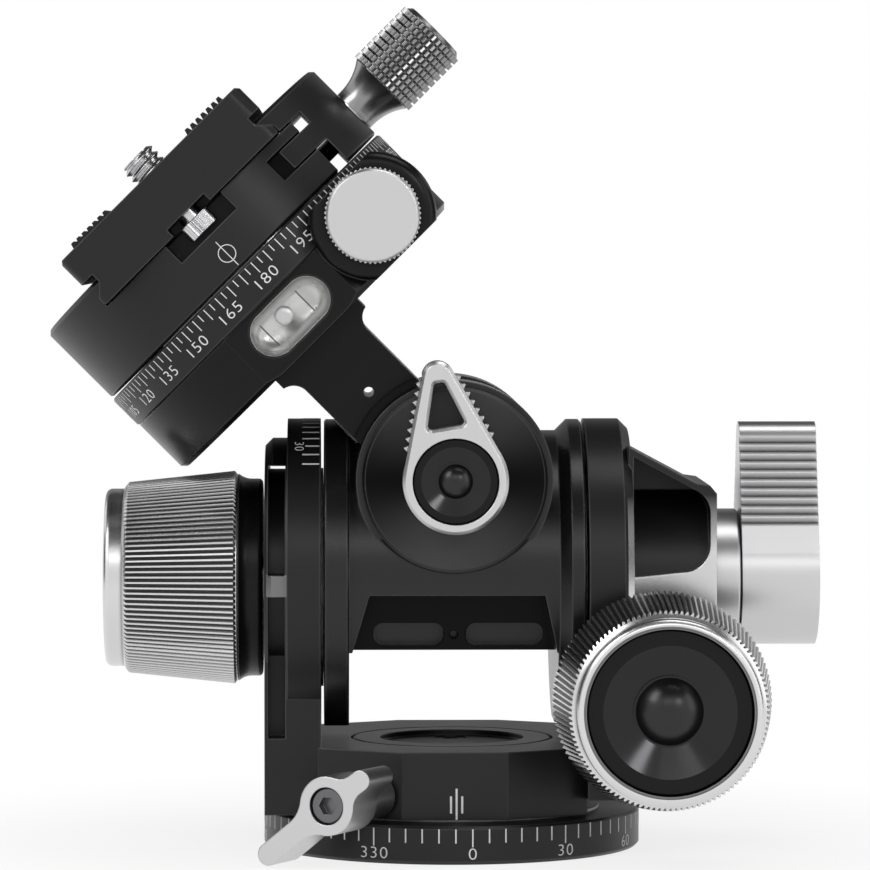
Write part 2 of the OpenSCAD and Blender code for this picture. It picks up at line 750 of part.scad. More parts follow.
module tilt_body() {
  flange_step = flange_r - body_r;
  color("#141517") difference() {
    union() {
      at_tilt() along_x() bar(flange_r, -body_x, -body_x + left_flange_t, 0.3, 0.3);
      at_tilt() along_x() bar(body_r, -body_x + 1, body_x - 1);
      at_tilt() along_x()
        bar(flange_r, body_x - right_flange_t - flange_step, body_x, flange_step, 0.3);
      barrel_space(barrel_r, barrel_half);
    }
    translate([-body_x - 1, -flange_r - 1, 0]) cube([body_w + 2, 2 * flange_r + 2, tilt_z - flange_flat]);
    translate([-body_x + left_flange_t, -flange_r - 1, 0])
      cube([body_w - left_flange_t - right_flange_t - 2, 2 * flange_r + 2, tilt_z - body_flat]);
    both_ends() at_tilt() under_scoop();
    at_tilt() web_pocket(-12.8, -1.6);
    at_tilt() web_pocket(1.9, 14.2);
    translate([0, 0, tilt_z - body_flat + web_hole_rise]) outward()
      bar(web_hole_r, web_half - 3, flange_r);
    at_roll() outward() bar(cap_r + seat_gap, barrel_half, flange_r + 1);
    at_roll() along_y() bar(barrel_r + seat_gap, barrel_half, flange_r + 1);
    arm_sweep(slot_half, pass_gap);
    difference() {
      arm_sweep(arm_half, pass_gap);
      barrel_space(neck_r - pass_gap, arm_half + 1);
    }
    barrel_space(arm_hub_r + pass_gap, slot_half);
    barrel_space(wheel_cavity_r, wheel_w / 2 + pass_gap);
    barrel_space(roll_bush_r + seat_gap, barrel_half + 1);
    at_tilt() along_x() bar(roll_tunnel_r, -body_x - 1, worm_seat);
    at_tilt() along_x() bar(worm_bush_r + seat_gap, 0, worm_seat + roll_worm_bush_l + bush_gap);
    at_tilt() along_x() bar(sleeve_r + seat_gap, -body_x - 1, -body_x + sleeve_in);
    at_tilt() along_x() bar(trunnion_r + seat_gap, body_x - trunnion_in, body_x + 1);
    for (turn = cap_screw_turns) at_roll() along_y() rotate(turn) translate([cap_screw_ring, 0, 0])
      bar(rear_screw[2] + thread_gap, barrel_half - rear_screw[3] - 1, barrel_half + 1);
  }
}

module roll_front_cap() {
  color("#101113") at_roll() outward() difference() {
    bar(cap_r, barrel_half, barrel_half + cap_t, 0, 0.5);
    bar(roll_shaft_r + run_fit, barrel_half - 1, barrel_half + cap_t + 1);
  }
}

module roll_rear_cap() {
  color("#101113") at_roll() along_y() difference() {
    bar(barrel_r, barrel_half, barrel_half + cap_t, 0, 0.6);
    for (turn = cap_screw_turns) rotate(turn) translate([cap_screw_ring, 0, 0])
      bar(rear_screw[0] + head_gap, barrel_half - 1, barrel_half + cap_t + 1);
  }
}

module cap_screws() {
  color("#6d7075") for (turn = cap_screw_turns) at_roll() along_y() rotate(turn)
    translate([cap_screw_ring, 0, barrel_half + rear_screw[1]]) cap_screw(rear_screw);
}

module left_trunnion() {
  color("#9a9da1") at_tilt() along_x()
    tube(sleeve_r, worm_shaft_r + run_fit, outer_x0 + 1, -body_x + sleeve_in - seat_gap);
}

module right_trunnion() {
  color("#9a9da1") at_tilt() along_x() {
    bar(trunnion_r, body_x - trunnion_in, tilt_wheel_x + wheel_w / 2);
    bar(stud_r, tilt_wheel_x, side_lever_x0 + side_lever_t - 5, 0, 0.4);
  }
}

module tilt_wheel() {
  color("#b08d4a") side_extrude(tilt_wheel_x - wheel_w / 2, tilt_wheel_x + wheel_w / 2)
    difference() {
      wheel_outline();
      circle(trunnion_r + seat_gap);
    }
}

module roll_bushes() {
  color("#b08d4a") both_ends() at_roll() along_y()
    tube(roll_bush_r, roll_shaft_r + run_fit, slot_half + bush_gap, barrel_half - 0.5);
}

module roll_worm_bush() {
  color("#b08d4a") at_tilt() along_x()
    tube(worm_bush_r, worm_shaft_r + run_fit, worm_seat + bush_gap, worm_seat + roll_worm_bush_l);
}

// Worms

// How far a worm's shaft ends behind its knob's cap
shaft_back = 2;

// A worm along Z, with its shaft running on to z0 and z1
module worm(pitch_r, z0, z1) {
  bar(worm_shaft_r, z0, -worm_l / 2, 0.3);
  bar(worm_shaft_r, worm_l / 2, z1, 0, 0.3);
  worm_thread(pitch_r);
}

module tilt_worm() {
  front = -tilt_knob_y + knob_l - knob_cap_t - shaft_back;
  color("#8a8d91") at_tilt_worm() along_y() rotate(-90) worm(tilt_worm_d / 2, -front, pillar_r - 0.6);
}

module roll_worm() {
  front = -roll_knob_x + knob_l - knob_cap_t - shaft_back;
  color("#8a8d91") at_tilt() along_x() rotate(180)
    worm(roll_worm_d / 2, -front, worm_seat + roll_worm_bush_l);
}

// Drive knobs

hub_spigot_r = 11;
hub_spigot_l = 6;
knob_cap_sink = 0.5;
knob_cap_rim = 2.5;
knob_ball_r = 5.2;
knob_dish = 3.8;

// The black hub: a round-edged disc that flares to the ribs in a hollow curve, with a spigot for them
module drive_knob_hub() {
  flare_r = knob_d / 2 - 0.5;
  edge_r = 0.7;
  straight = 1.8;
  flare = flare_r - knob_hub_r;
  curve_r = (flare * flare + pow(knob_hub_l - straight, 2)) / (2 * flare);
  difference() {
    rotate_extrude() {
      difference() {
        translate([0, edge_r]) square([flare_r, knob_hub_l - edge_r]);
        translate([knob_hub_r + curve_r, straight]) circle(curve_r);
        translate([knob_hub_r, 0]) square([flare_r, straight]);
      }
      square([knob_hub_r - edge_r, knob_hub_l]);
      translate([knob_hub_r - edge_r, edge_r]) circle(edge_r);
      translate([0, knob_hub_l - 0.1]) square([hub_spigot_r, hub_spigot_l + 0.1]);
    }
    bar(worm_shaft_r + seat_gap, -1, knob_l);
  }
}

// The ribbed sleeve with its smooth, rounded front ring
module drive_knob() {
  front_z = knob_hub_l + knob_band_l;
  ring_r = knob_front_d / 2 - 0.5;
  round_r = 2.2;
  rib_depth = 0.45;
  difference() {
    union() {
      translate([0, 0, knob_hub_l + seat_gap]) linear_extrude(knob_band_l, scale = knob_front_d / knob_d)
        ribbed_outline(knob_d / 2, knob_ribs, rib_depth);
      rotate_extrude() {
        translate([0, front_z - 1]) square([ring_r, knob_ring_l + 1 - round_r]);
        translate([0, front_z - 1]) square([ring_r - round_r, knob_ring_l + 1]);
        translate([ring_r - round_r, knob_l - round_r]) circle(round_r);
      }
    }
    bar(knob_cap_d / 2 + seat_gap, knob_l - knob_cap_t, knob_l + 1);
    bar(hub_spigot_r + seat_gap, knob_hub_l - 1, knob_hub_l + hub_spigot_l + seat_gap);
    bar(worm_shaft_r + seat_gap, knob_hub_l, knob_l);
  }
}

module drive_knob_cap() {
  rim_r = knob_cap_d / 2;
  translate([0, 0, knob_l - knob_cap_sink])
    dished_cap(rim_r, rim_r - knob_cap_rim, knob_ball_r, knob_dish, knob_cap_t - knob_cap_sink - seat_gap);
}

module tilt_knob() {
  color("#a4a7ab") at_tilt_worm() translate([0, tilt_knob_y, 0]) outward() drive_knob();
}

module tilt_knob_hub() {
  color("#141517") at_tilt_worm() translate([0, tilt_knob_y, 0]) outward() drive_knob_hub();
}

module tilt_knob_cap() {
  color("#0e0f10") at_tilt_worm() translate([0, tilt_knob_y, 0]) outward() drive_knob_cap();
}

module roll_knob() {
  color("#a4a7ab") at_tilt() translate([roll_knob_x, 0, 0]) rotate([0, -90, 0]) drive_knob();
}

module roll_knob_hub() {
  color("#141517") at_tilt() translate([roll_knob_x, 0, 0]) rotate([0, -90, 0]) drive_knob_hub();
}

module roll_knob_cap() {
  color("#0e0f10") at_tilt() translate([roll_knob_x, 0, 0]) rotate([0, -90, 0]) drive_knob_cap();
}

// Levers

side_tip_r = 3.6;
side_notch = [10, 1.5, 0.5, 0];
side_cap_r = side_lever_r - 2.1;
side_cap_seat = 4;
side_cap_rim = 1.7;
side_ball_r = 3.5;
side_dish = 2.4;
lever_cap_sink = 0.3;

module tilt_lever() {
  color("#c4c6c9") translate([side_lever_x0, 0, tilt_z]) rotate([90, 0, 90]) difference() {
    linear_extrude(side_lever_t) lever_outline(side_lever_r, side_tip_r, side_lever_reach, side_notch);
    bar(stud_r + run_fit, -1, side_lever_t);
    bar(side_cap_r + seat_gap, side_lever_t - side_cap_seat, side_lever_t + 1);
  }
}

module tilt_lever_cap() {
  seat = side_cap_seat - lever_cap_sink - seat_gap;
  color("#0e0f10") translate([side_lever_x0 + side_lever_t - lever_cap_sink, 0, tilt_z]) along_x()
    dished_cap(side_cap_r, side_cap_r - side_cap_rim, side_ball_r, side_dish, seat);
}

front_lever_y = -barrel_half - cap_t - pass_gap / 2;
front_tip_r = 2.5;
front_notch = [7, 1.2, 0.4, 0.4];
front_cap_r = front_lever_r - 1.65;
front_cap_seat = 3;
front_cap_rim = 1.3;
front_ball_r = 2.7;
front_dish = 1.9;
lever_stud_r = roll_shaft_r - 1.5;

module at_front_lever() translate([0, front_lever_y, roll_z]) outward() rotate(front_lever_lean) children();

module roll_lever() {
  window_r = 2.6;
  window_tip_r = 0.9;
  window_reach = 5.2;
  window_y = front_lever_r - 0.75 + window_r;
  color("#c4c6c9") at_front_lever() difference() {
    linear_extrude(front_lever_t) difference() {
      lever_outline(front_lever_r, front_tip_r, front_lever_reach, front_notch);
      translate([0, window_y]) drop_outline(window_r, window_tip_r, window_reach);
    }
    bar(lever_stud_r + run_fit, -1, front_lever_t);
    bar(front_cap_r + seat_gap, front_lever_t - front_cap_seat, front_lever_t + 1);
  }
}

module roll_lever_cap() {
  seat = front_cap_seat - lever_cap_sink - seat_gap;
  color("#0e0f10") at_front_lever() translate([0, 0, front_lever_t - lever_cap_sink])
    dished_cap(front_cap_r, front_cap_r - front_cap_rim, front_ball_r, front_dish, seat);
}

// Rolling arm and panning base

module roll_shaft() {
  stud_y = front_lever_t - front_cap_seat - lever_cap_sink;
  color("#9a9da1") at_roll() outward() {
    bar(roll_shaft_r, -barrel_half + 0.3, barrel_half + cap_t);
    bar(lever_stud_r, barrel_half, barrel_half + cap_t + pass_gap / 2 + stud_y);
  }
}

module roll_wheel() {
  color("#b08d4a") at_roll() rotate([90, 0, 0]) translate([0, 0, -wheel_w / 2]) linear_extrude(wheel_w)
    difference() {
      wheel_outline();
      circle(roll_shaft_r + seat_gap);
    }
}

// Front view of the arm above its hub: straight sides, then round shoulders out to the head
module arm_outline() {
  shoulder_r = 2.8;
  head_h = 2;
  half = arm_w / 2;
  step = (arm_head_w - arm_w) / 2;
  rise = sqrt(shoulder_r * shoulder_r - pow(shoulder_r - step, 2));
  head_z = pan_rise - head_h;
  difference() {
    union() {
      translate([-half, 0]) square([arm_w, pan_rise]);
      translate([-arm_head_w / 2, head_z - rise]) square([arm_head_w, head_h + rise]);
    }
    for (side = [-1, 1]) translate([side * (half + shoulder_r), head_z - rise]) circle(shoulder_r);
  }
}

cross_hole_r = 0.8;
cross_hole_rise = 2.1;
arm_screw_at = [for (x = [-4.2, 4.2], y = [-7.5, 7.5]) [x, y, pan_rise]];

module roll_arm() {
  color("#17181a") at_arm() difference() {
    union() {
      front_extrude(-neck_d / 2, neck_d / 2) arm_outline();
      difference() {
        front_extrude(-arm_d / 2, arm_d / 2) arm_outline();
        along_y() bar(neck_r, -arm_d, arm_d);
      }
      along_y() bar(arm_hub_r, -neck_d / 2, neck_d / 2);
    }
    along_y() bar(wheel_tip_r + pass_gap, -wheel_w / 2 - slide_gap, wheel_w / 2 + slide_gap);
    along_y() bar(roll_shaft_r + seat_gap, -arm_d, arm_d);
    translate([0, 0, neck_r + cross_hole_rise]) along_y() bar(cross_hole_r, -arm_d, arm_d);
    for (place = arm_screw_at) translate(place) bar(arm_screw[2] + thread_gap, -arm_screw[3] - 0.5, 1);
  }
}

pan_floor_t = 2.6;
arm_screw_sink = 0.3;

module arm_screws() {
  color("#6d7075") at_arm() for (place = arm_screw_at) translate(place)
    translate([0, 0, pan_floor_t - arm_screw_sink]) cap_screw(arm_screw);
}

lock_shoe_r = 2.25;
lock_screw_r = 1.5;
lock_boss_r = 10;
lock_boss_y = -30.8;
lock_boss_top = screw_z - clamp_knob_d / 2 - pass_gap;

// The boss under the top lock's knob, along +Z, with its front edge rounded
module lock_boss() {
  edge_r = 2;
  l = -lock_boss_y - 10;
  translate([0, 0, lock_boss_y]) rotate_extrude() {
    square([lock_boss_r - edge_r, l]);
    translate([0, edge_r]) square([lock_boss_r, l - edge_r]);
    translate([lock_boss_r - edge_r, edge_r]) circle(edge_r);
  }
}

// The slot for the level, with round ends
module level_slot(grow, y0, y1) {
  r = level_h / 2 + grow;
  span = level_l / 2 - level_h / 2;
  translate([0, 0, pan_rise + level_rise]) {
    for (x = [-span, span]) translate([x, 0, 0]) along_y() bar(r, y0, y1);
    translate([-span, y0, -r]) cube([2 * span, y1 - y0, 2 * r]);
  }
}

module pan_base() {
  color("#141517") at_arm() difference() {
    union() {
      difference() {
        bar(pan_r, pan_rise, pan_top, 0.8);
        translate([-pan_r, -2 * pan_r, pan_rise - 1]) cube([2 * pan_r, pan_r + level_y + pan_r, pan_h + 2]);
      }
      intersection() {
        translate([lock_x, 0, lock_z]) along_y() lock_boss();
        bar(2 * pan_r, pan_rise, lock_boss_top);
      }
    }
    bar(scale_r + pass_gap, pan_top, pan_top + pan_h);
    bar(spindle_r + run_fit, pan_rise + pan_floor_t, pan_top + 1);
    level_slot(0, -pan_r - 1, level_y + level_depth);
    translate([lock_x, 0, lock_z]) along_y() bar(lock_shoe_r + seat_gap, lock_boss_y + 8, 3);
    translate([lock_x, 0, lock_z]) along_y() bar(lock_screw_r + run_fit, lock_boss_y - 1, 0);
    for (place = arm_screw_at) translate(place) {
      bar(arm_screw[2] + shank_gap, -1, pan_floor_t + 1);
      bar(arm_screw[0] + head_gap, pan_floor_t - arm_screw_sink - arm_screw[1], pan_floor_t + 1);
    }
  }
}

module scale_ring() {
  color("#141517") at_arm() difference() {
    bar(scale_r, scale_z, scale_z + scale_h, 0.3, 0.3);
    bar(spindle_r + run_fit, scale_z - 1, scale_z + scale_h + 1);
  }
}

module level_vial() {
  color("#d7e3d0") at_arm() level_slot(-0.15, level_y + 0.5, level_y + level_depth - seat_gap);
}

module top_lock_shoe() {
  color("#b08d4a") at_arm() difference() {
    translate([lock_x, 0, lock_z]) along_y() bar(lock_shoe_r, -17, 2.5);
    bar(spindle_r + slide_gap, pan_rise, pan_top + 3);
    translate([lock_x, 0, lock_z]) along_y() bar(lock_screw_r + run_fit, -18, 4);
  }
}

lock_knob_t = 4.8;
lock_knob_ribs = 60;
lock_rib_depth = 0.3;

module pan_lock_knob() {
  color("#b4b7ba") at_lock() translate([0, lock_boss_y - pass_gap, 0]) outward() difference() {
    union() {
      translate([0, 0, 0.4]) linear_extrude(lock_knob_t - 0.8)
        ribbed_outline(lock_knob_d / 2, lock_knob_ribs, lock_rib_depth);
      bar(lock_knob_d / 2 - 0.35, 0, lock_knob_t, 0.3, 0.3);
    }
    bar(lock_screw_r + seat_gap, -1, lock_knob_t - 1.5);
  }
}

module pan_lock_screw() {
  color("#8a8d91") at_lock() outward()
    bar(lock_screw_r, -1, pass_gap - lock_boss_y + lock_knob_t - 1.5 - seat_gap, 0.3);
}

// Clamp

pin_r = 1.6;
pin_y = 9.5;
pin_x = jaw_slit_x - 3 * jaw_travel - 3;
tongue_h = 3.5;
tongue_rise = 6.6;
tongue_in = jaw_slit + jaw_travel + 1.6;
tongue_y = 12;
tongue_groove = tongue_in + 2.5;
stop_pocket_hw = 6;
stop_pocket_h = 3.6;
stop_y = -plate_l / 2 + 5.5;

// Section of the clamp's lip on the left, or with its sides exchanged of the jaw's lip
module lip_cut(side) {
  hw = dovetail_hw + dovetail_gap;
  edge_z = clamp_floor + 0.2 + dovetail_edge;
  scale([side, 1]) polygon([[0, clamp_floor], [hw, clamp_floor], [hw, edge_z],
    [hw - dovetail_rise, edge_z + dovetail_rise], [hw - dovetail_rise, clamp_top + 1], [0, clamp_top + 1]]);
}

// The jaw's two tongues, or grown a little and out to the front and back the grooves for them
module tongues(grow, x0, x1) {
  both_ends() translate([x0, tongue_y - grow, clamp_z + tongue_rise - tongue_h / 2 - grow])
    cube([x1 - x0, clamp_r - tongue_y + 2 * grow, tongue_h + 2 * grow]);
}

spindle_screw_at = [for (turn = [90, 150, 210, 270]) [0, 0, turn]];
spindle_screw_ring = 13;
spindle_screw_sink = 0.2;

module clamp_body() {
  color("#141517") at_arm() difference() {
    bar(clamp_r, clamp_z, clamp_top, 0.3, 0.6);
    front_extrude(-clamp_r - 1, clamp_r + 1) lip_cut(-1);
    translate([-0.1, -clamp_r - 1, clamp_floor]) cube([clamp_r + 2, 2 * clamp_r + 2, lip_h + 1]);
    translate([jaw_slit_x, -clamp_r - 1, clamp_z - 1]) cube([clamp_r, 2 * clamp_r + 2, clamp_floor_h + 2]);
    tongues(0.3, jaw_x - tongue_groove, jaw_x);
    translate([0, 0, screw_z]) along_x() bar(clamp_screw_d / 2 + run_fit, 0, clamp_r);
    for (y = [-pin_y, pin_y]) translate([0, y, screw_z]) along_x() bar(pin_r + run_fit, pin_x - 1, clamp_r);
    translate([-stop_pocket_hw, -clamp_r - 1, clamp_floor - stop_pocket_h])
      cube([2 * stop_pocket_hw, clamp_r + 1 + stop_y + 5, stop_pocket_h + 1]);
    for (turn = spindle_screw_at) rotate(turn) translate([spindle_screw_ring, 0, 0]) {
      bar(spindle_screw[2] + shank_gap, clamp_z - 1, clamp_floor + 1);
      bar(spindle_screw[0] + head_gap, clamp_floor - spindle_screw_sink - spindle_screw[1], clamp_floor + 1);
    }
  }
}

module clamp_spindle() {
  color("#9a9da1") at_arm() difference() {
    bar(spindle_r, pan_rise + pan_floor_t + 0.2, clamp_z - seat_gap, 0.4);
    for (turn = spindle_screw_at) rotate(turn) translate([spindle_screw_ring, 0, 0])
      bar(spindle_screw[2] + thread_gap, clamp_z - 8, clamp_z + 1);
  }
}

module spindle_screws() {
  color("#6d7075") at_arm() for (turn = spindle_screw_at) rotate(turn)
    translate([spindle_screw_ring, 0, clamp_floor - spindle_screw_sink]) cap_screw(spindle_screw);
}

module clamp_jaw() {
  lip_gap = 0.3;
  color("#141517") at_arm() {
    difference() {
      bar(clamp_r, clamp_z, clamp_top, 0.3, 0.6);
      front_extrude(-clamp_r - 1, clamp_r + 1) lip_cut(1);
      translate([-clamp_r - 1, -clamp_r - 1, clamp_z - 1])
        cube([clamp_r + 1, 2 * clamp_r + 2, clamp_floor_h + lip_h + 2]);
      translate([-1, -clamp_r - 1, clamp_z - 1])
        cube([jaw_x + 1, 2 * clamp_r + 2, clamp_floor_h + 1 + lip_gap]);
      translate([0, 0, screw_z]) along_x() bar(clamp_screw_d / 2 + run_fit, 0, clamp_r + 1);
      for (y = [-pin_y, pin_y]) translate([0, y, screw_z]) along_x() bar(pin_r + seat_gap, 0, clamp_r - 3.5);
    }
    intersection() {
      tongues(0, jaw_x - tongue_in, jaw_x + 0.5);
      bar(clamp_r, clamp_z, clamp_top);
    }
  }
}

module guide_pins() {
  color("#8a8d91") at_clamp_screw() for (y = [-pin_y, pin_y]) translate([0, y, 0]) along_x()
    bar(pin_r, pin_x, clamp_r - 3.6, 0.3, 0.3);
}

neck_start = clamp_r + slide_gap;
grip_from = 6.2;

module clamp_screw() {
  color("#8a8d91") at_clamp_screw() along_x()
    bar(clamp_screw_d / 2, 3, neck_start + clamp_knob_l - 4, 0.5, 0.3);
}

// The clamp's knob: a waisted neck and a grip of small pyramids in rings
module clamp_knob() {
  rows = 9;
  teeth = 36;
  tooth_depth = 0.45;
  grip_l = clamp_knob_l - grip_from - 0.6;
  step = grip_l / rows;
  knob_r = clamp_knob_d / 2;
  neck_r0 = 3.75;
  neck_straight = 0.8;
  flare = knob_r - 0.5 - neck_r0;
  neck_curve_r = (flare * flare + pow(grip_from - neck_straight, 2)) / (2 * flare);
  color("#9b9ea2") at_clamp_screw() along_x() translate([0, 0, neck_start]) difference() {
    union() {
      rotate_extrude() difference() {
        polygon([[0, 0], [knob_r - 0.5, 0], [knob_r - 0.5, clamp_knob_l - 0.6], [knob_r - 1.1, clamp_knob_l],
          [0, clamp_knob_l]]);
        translate([neck_r0 + neck_curve_r, neck_straight]) circle(neck_curve_r);
        translate([neck_r0, -1]) square([knob_r, neck_straight + 1]);
      }
      for (i = [0 : rows - 1]) translate([0, 0, grip_from + (i + 0.15) * step])
        linear_extrude(step * 0.7) ribbed_outline(knob_r, teeth, tooth_depth);
    }
    bar(clamp_screw_d / 2 + seat_gap, -1, clamp_knob_l - 3.8);
  }
}

// Camera plate

plate_corner = 2.5;
strip_w = 8;
strip_x = plate_w / 2 - 3 - strip_w / 2;
strip_sink = 0.8;
strip_end = 3;
strip_gap = 0.05;
camera_head_r = 6.6;
camera_head_h = 2.4;
stop_groove_h = 1.4;

// Front view of the plate: dovetail foot, waist and wide top with bevelled edges
module plate_section() {
  edge_z = plate_z + dovetail_edge;
  waist = dovetail_hw - dovetail_rise;
  under_z = plate_top - 4.85;
  hw = plate_w / 2;
  half = [[dovetail_hw - 0.3, plate_z], [dovetail_hw, plate_z + 0.3], [dovetail_hw, edge_z],
    [waist, edge_z + dovetail_rise], [waist, under_z], [hw, under_z], [hw, plate_top - 0.6],
    [hw - 0.6, plate_top]];
  polygon(concat(half, [for (i = [len(half) - 1 : -1 : 0]) [-half[i][0], half[i][1]]]));
}

// Top view of the plate, with round corners
module plate_plan() {
  for (x = [-1, 1], y = [-1, 1])
    translate([x * (plate_w / 2 - plate_corner), y * (plate_l / 2 - plate_corner)]) circle(plate_corner);
  square([plate_w - 2 * plate_corner, plate_l], center = true);
  square([plate_w, plate_l - 2 * plate_corner], center = true);
}

module plate() {
  stop_groove = 4;
  color("#101113") at_arm() difference() {
    intersection() {
      front_extrude(-plate_l / 2 - 1, plate_l / 2 + 1) plate_section();
      translate([0, 0, plate_z - 1]) linear_extrude(plate_h + 2) plate_plan();
    }
    bar(camera_screw_d / 2 + run_fit, plate_z - 1, plate_top + 1);
    bar(camera_head_r + pass_gap, plate_z - 1, plate_z + camera_head_h + 0.6);
    translate([-stop_groove, -plate_l / 2 - 1, plate_z - 1]) cube([2 * stop_groove, 12, 1 + stop_groove_h]);
    translate([0, stop_y, 0]) bar(1.3, plate_z - 1, plate_z + 6);
    for (side = [-1, 1])
      translate([side * strip_x - strip_w / 2, strip_end - plate_l / 2, plate_top - strip_sink])
        cube([strip_w, plate_l - 2 * strip_end, strip_sink + 1]);
  }
}

// A ribbed strip in front view, its foot in the plate's groove
module strip_outline() {
  teeth = 7;
  tooth = strip_w / teeth;
  tooth_h = 0.9;
  half = strip_w / 2 - strip_gap;
  polygon(concat([[half, 0], [half, strip_sink]],
    [for (i = [teeth - 1 : -1 : 0], c = [[0.75, tooth_h], [0.25, tooth_h], [0.02, 0]])
      [-strip_w / 2 + (i + c[0]) * tooth + strip_gap, strip_sink + c[1]]],
    [[-half, 0]]));
}

module grip_strips() {
  half_l = plate_l / 2 - strip_end - strip_gap;
  color("#26272a") at_arm() for (side = [-1, 1])
    translate([side * strip_x, 0, plate_top - strip_sink + seat_gap])
      front_extrude(-half_l, half_l) strip_outline();
}

module stop_screw() {
  stop_r = 2.65;
  stop_h = 2.6;
  shank_r = 1.25;
  collar_r = 1.9;
  color("#c4c6c9") at_arm() translate([0, stop_y, 0]) {
    translate([0, 0, plate_z - stop_h - 0.1]) linear_extrude(stop_h) ribbed_outline(stop_r, 24, 0.3);
    bar(shank_r, plate_z - 1.4, plate_z + 5.6);
    bar(collar_r, plate_z - 0.2, plate_z + stop_groove_h - seat_gap);
  }
}

module camera_screw() {
  shank_relief = 0.3;
  color("#c4c6c9") at_arm() difference() {
    union() {
      bar(camera_screw_d / 2 - shank_relief, plate_z + 0.8, plate_top + 0.3);
      bar(camera_screw_d / 2, plate_top + 0.2, plate_top + camera_screw_h, 0, 0.5);
      bar(camera_head_r, plate_z + 0.4, plate_z + 0.4 + camera_head_h, 0.3, 0.3);
    }
    translate([-camera_head_r - 1, -0.8, plate_z]) cube([2 * camera_head_r + 2, 1.6, 1.6]);
  }
}

base_disc();
tripod_insert();
pan_washer();
pan_retainer();
retainer_screws();
main_frame();
right_bracket();
bracket_screws();
left_bush();
right_bush();
thrust_washers();
tilt_worm_bushes();
worm_rear_cover();
lever_collar();
pan_lock_shoe();
wing_lever();
wing_screw();
tilt_body();
roll_front_cap();
roll_rear_cap();
cap_screws();
left_trunnion();
right_trunnion();
tilt_wheel();
roll_bushes();
roll_worm_bush();
tilt_worm();
tilt_knob();
tilt_knob_hub();
tilt_knob_cap();
tilt_lever();
tilt_lever_cap();
roll_worm();
roll_knob();
roll_knob_hub();
roll_knob_cap();
roll_lever();
roll_lever_cap();
roll_shaft();
roll_wheel();
roll_arm();
arm_screws();
pan_base();
scale_ring();
level_vial();
top_lock_shoe();
pan_lock_knob();
pan_lock_screw();
clamp_body();
clamp_spindle();
spindle_screws();
clamp_jaw();
guide_pins();
clamp_screw();
clamp_knob();
plate();
grip_strips();
stop_screw();
camera_screw();
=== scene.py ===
"""Looks of the geared tripod head: finishes, finer shapes, dial marks and a white studio.

The CAD part is loaded as it was packed, and every solid gets a procedural finish. Nine solids are made again
in the same place and box, where the photograph shows more than they have: the four black caps, the sleeves
of the two drive knobs, the roll release's lever, the spirit level and the camera screw. The white dial marks
and numbers are added. All lengths are metres in the part's own frame.
"""

from __future__ import annotations

import logging
import math
from dataclasses import dataclass, field
from enum import Enum
from typing import ClassVar, Sequence

import bmesh
import bpy
from mathutils import Matrix, Vector

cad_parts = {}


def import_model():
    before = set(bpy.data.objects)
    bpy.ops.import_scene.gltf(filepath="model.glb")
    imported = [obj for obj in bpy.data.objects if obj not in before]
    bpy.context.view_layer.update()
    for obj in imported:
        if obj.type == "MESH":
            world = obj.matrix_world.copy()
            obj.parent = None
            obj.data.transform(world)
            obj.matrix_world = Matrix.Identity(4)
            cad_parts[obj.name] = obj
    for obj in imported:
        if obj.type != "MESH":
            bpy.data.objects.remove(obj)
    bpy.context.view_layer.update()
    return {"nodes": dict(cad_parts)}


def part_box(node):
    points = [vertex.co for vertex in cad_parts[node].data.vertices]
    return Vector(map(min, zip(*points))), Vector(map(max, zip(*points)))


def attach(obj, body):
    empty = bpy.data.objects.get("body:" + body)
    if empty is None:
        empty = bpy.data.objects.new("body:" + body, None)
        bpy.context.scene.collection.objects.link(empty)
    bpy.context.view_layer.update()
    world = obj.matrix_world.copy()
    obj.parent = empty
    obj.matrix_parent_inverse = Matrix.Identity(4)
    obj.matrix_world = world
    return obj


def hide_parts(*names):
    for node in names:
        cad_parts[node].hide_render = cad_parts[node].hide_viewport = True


LOG = logging.getLogger("geared_head")
MM = 0.001
TURN = 2 * math.pi
QUARTER = math.pi / 2
WHITE = (1.0, 1.0, 1.0, 1.0)

Pair = tuple[float, float]
Triple = tuple[float, float, float]
FORWARD: Triple = (0.0, -1.0, 0.0)
LEFT: Triple = (-1.0, 0.0, 0.0)
RIGHT: Triple = (1.0, 0.0, 0.0)


class Finish(Enum):
    """Names of the finishes on the head."""

    BLACK = "black_anodised"
    BLACK_DEEP = "deep_black_anodised"
    BLACK_SATIN = "satin_black_anodised"
    BLACK_SMOOTH = "black_turned_painted_fans"
    # a grey painted as sheen on the turned caps
    BLACK_PAINTED_SHEEN = "painted_sheen"
    BLACK_MATT = "matt_black"
    BLACK_CHROME = "black_chrome"
    BLACK_BUTTON = "black_button"
    # a black painted as shade in the recess under the barrel
    BLACK_PAINTED_SHADE = "black_painted_recess_shade"
    # a grey painted as shade on the knobs' rings and as a highlight bar on the left pillar
    PAINTED_SHADE_HIGHLIGHT_GREY = "ring_groove"
    # bare metal of the milled rim, partly a painted reflection, faded out upwards by painted shade
    RIM = "milled_rim"
    SILVER = "silver_satin"
    LEVER = "silver_ribbed"
    KNOB = "knob_grey"
    KNURL = "knurled_grey"
    STEEL = "bright_steel"
    DARK_STEEL = "dark_steel"
    BRONZE = "bronze"
    NYLON = "white_nylon"
    RUBBER = "grip_rubber"
    INK = "dial_white"
    GLASS = "level_glass"
    LINE = "level_line"
    TROUGH = "level_silver"


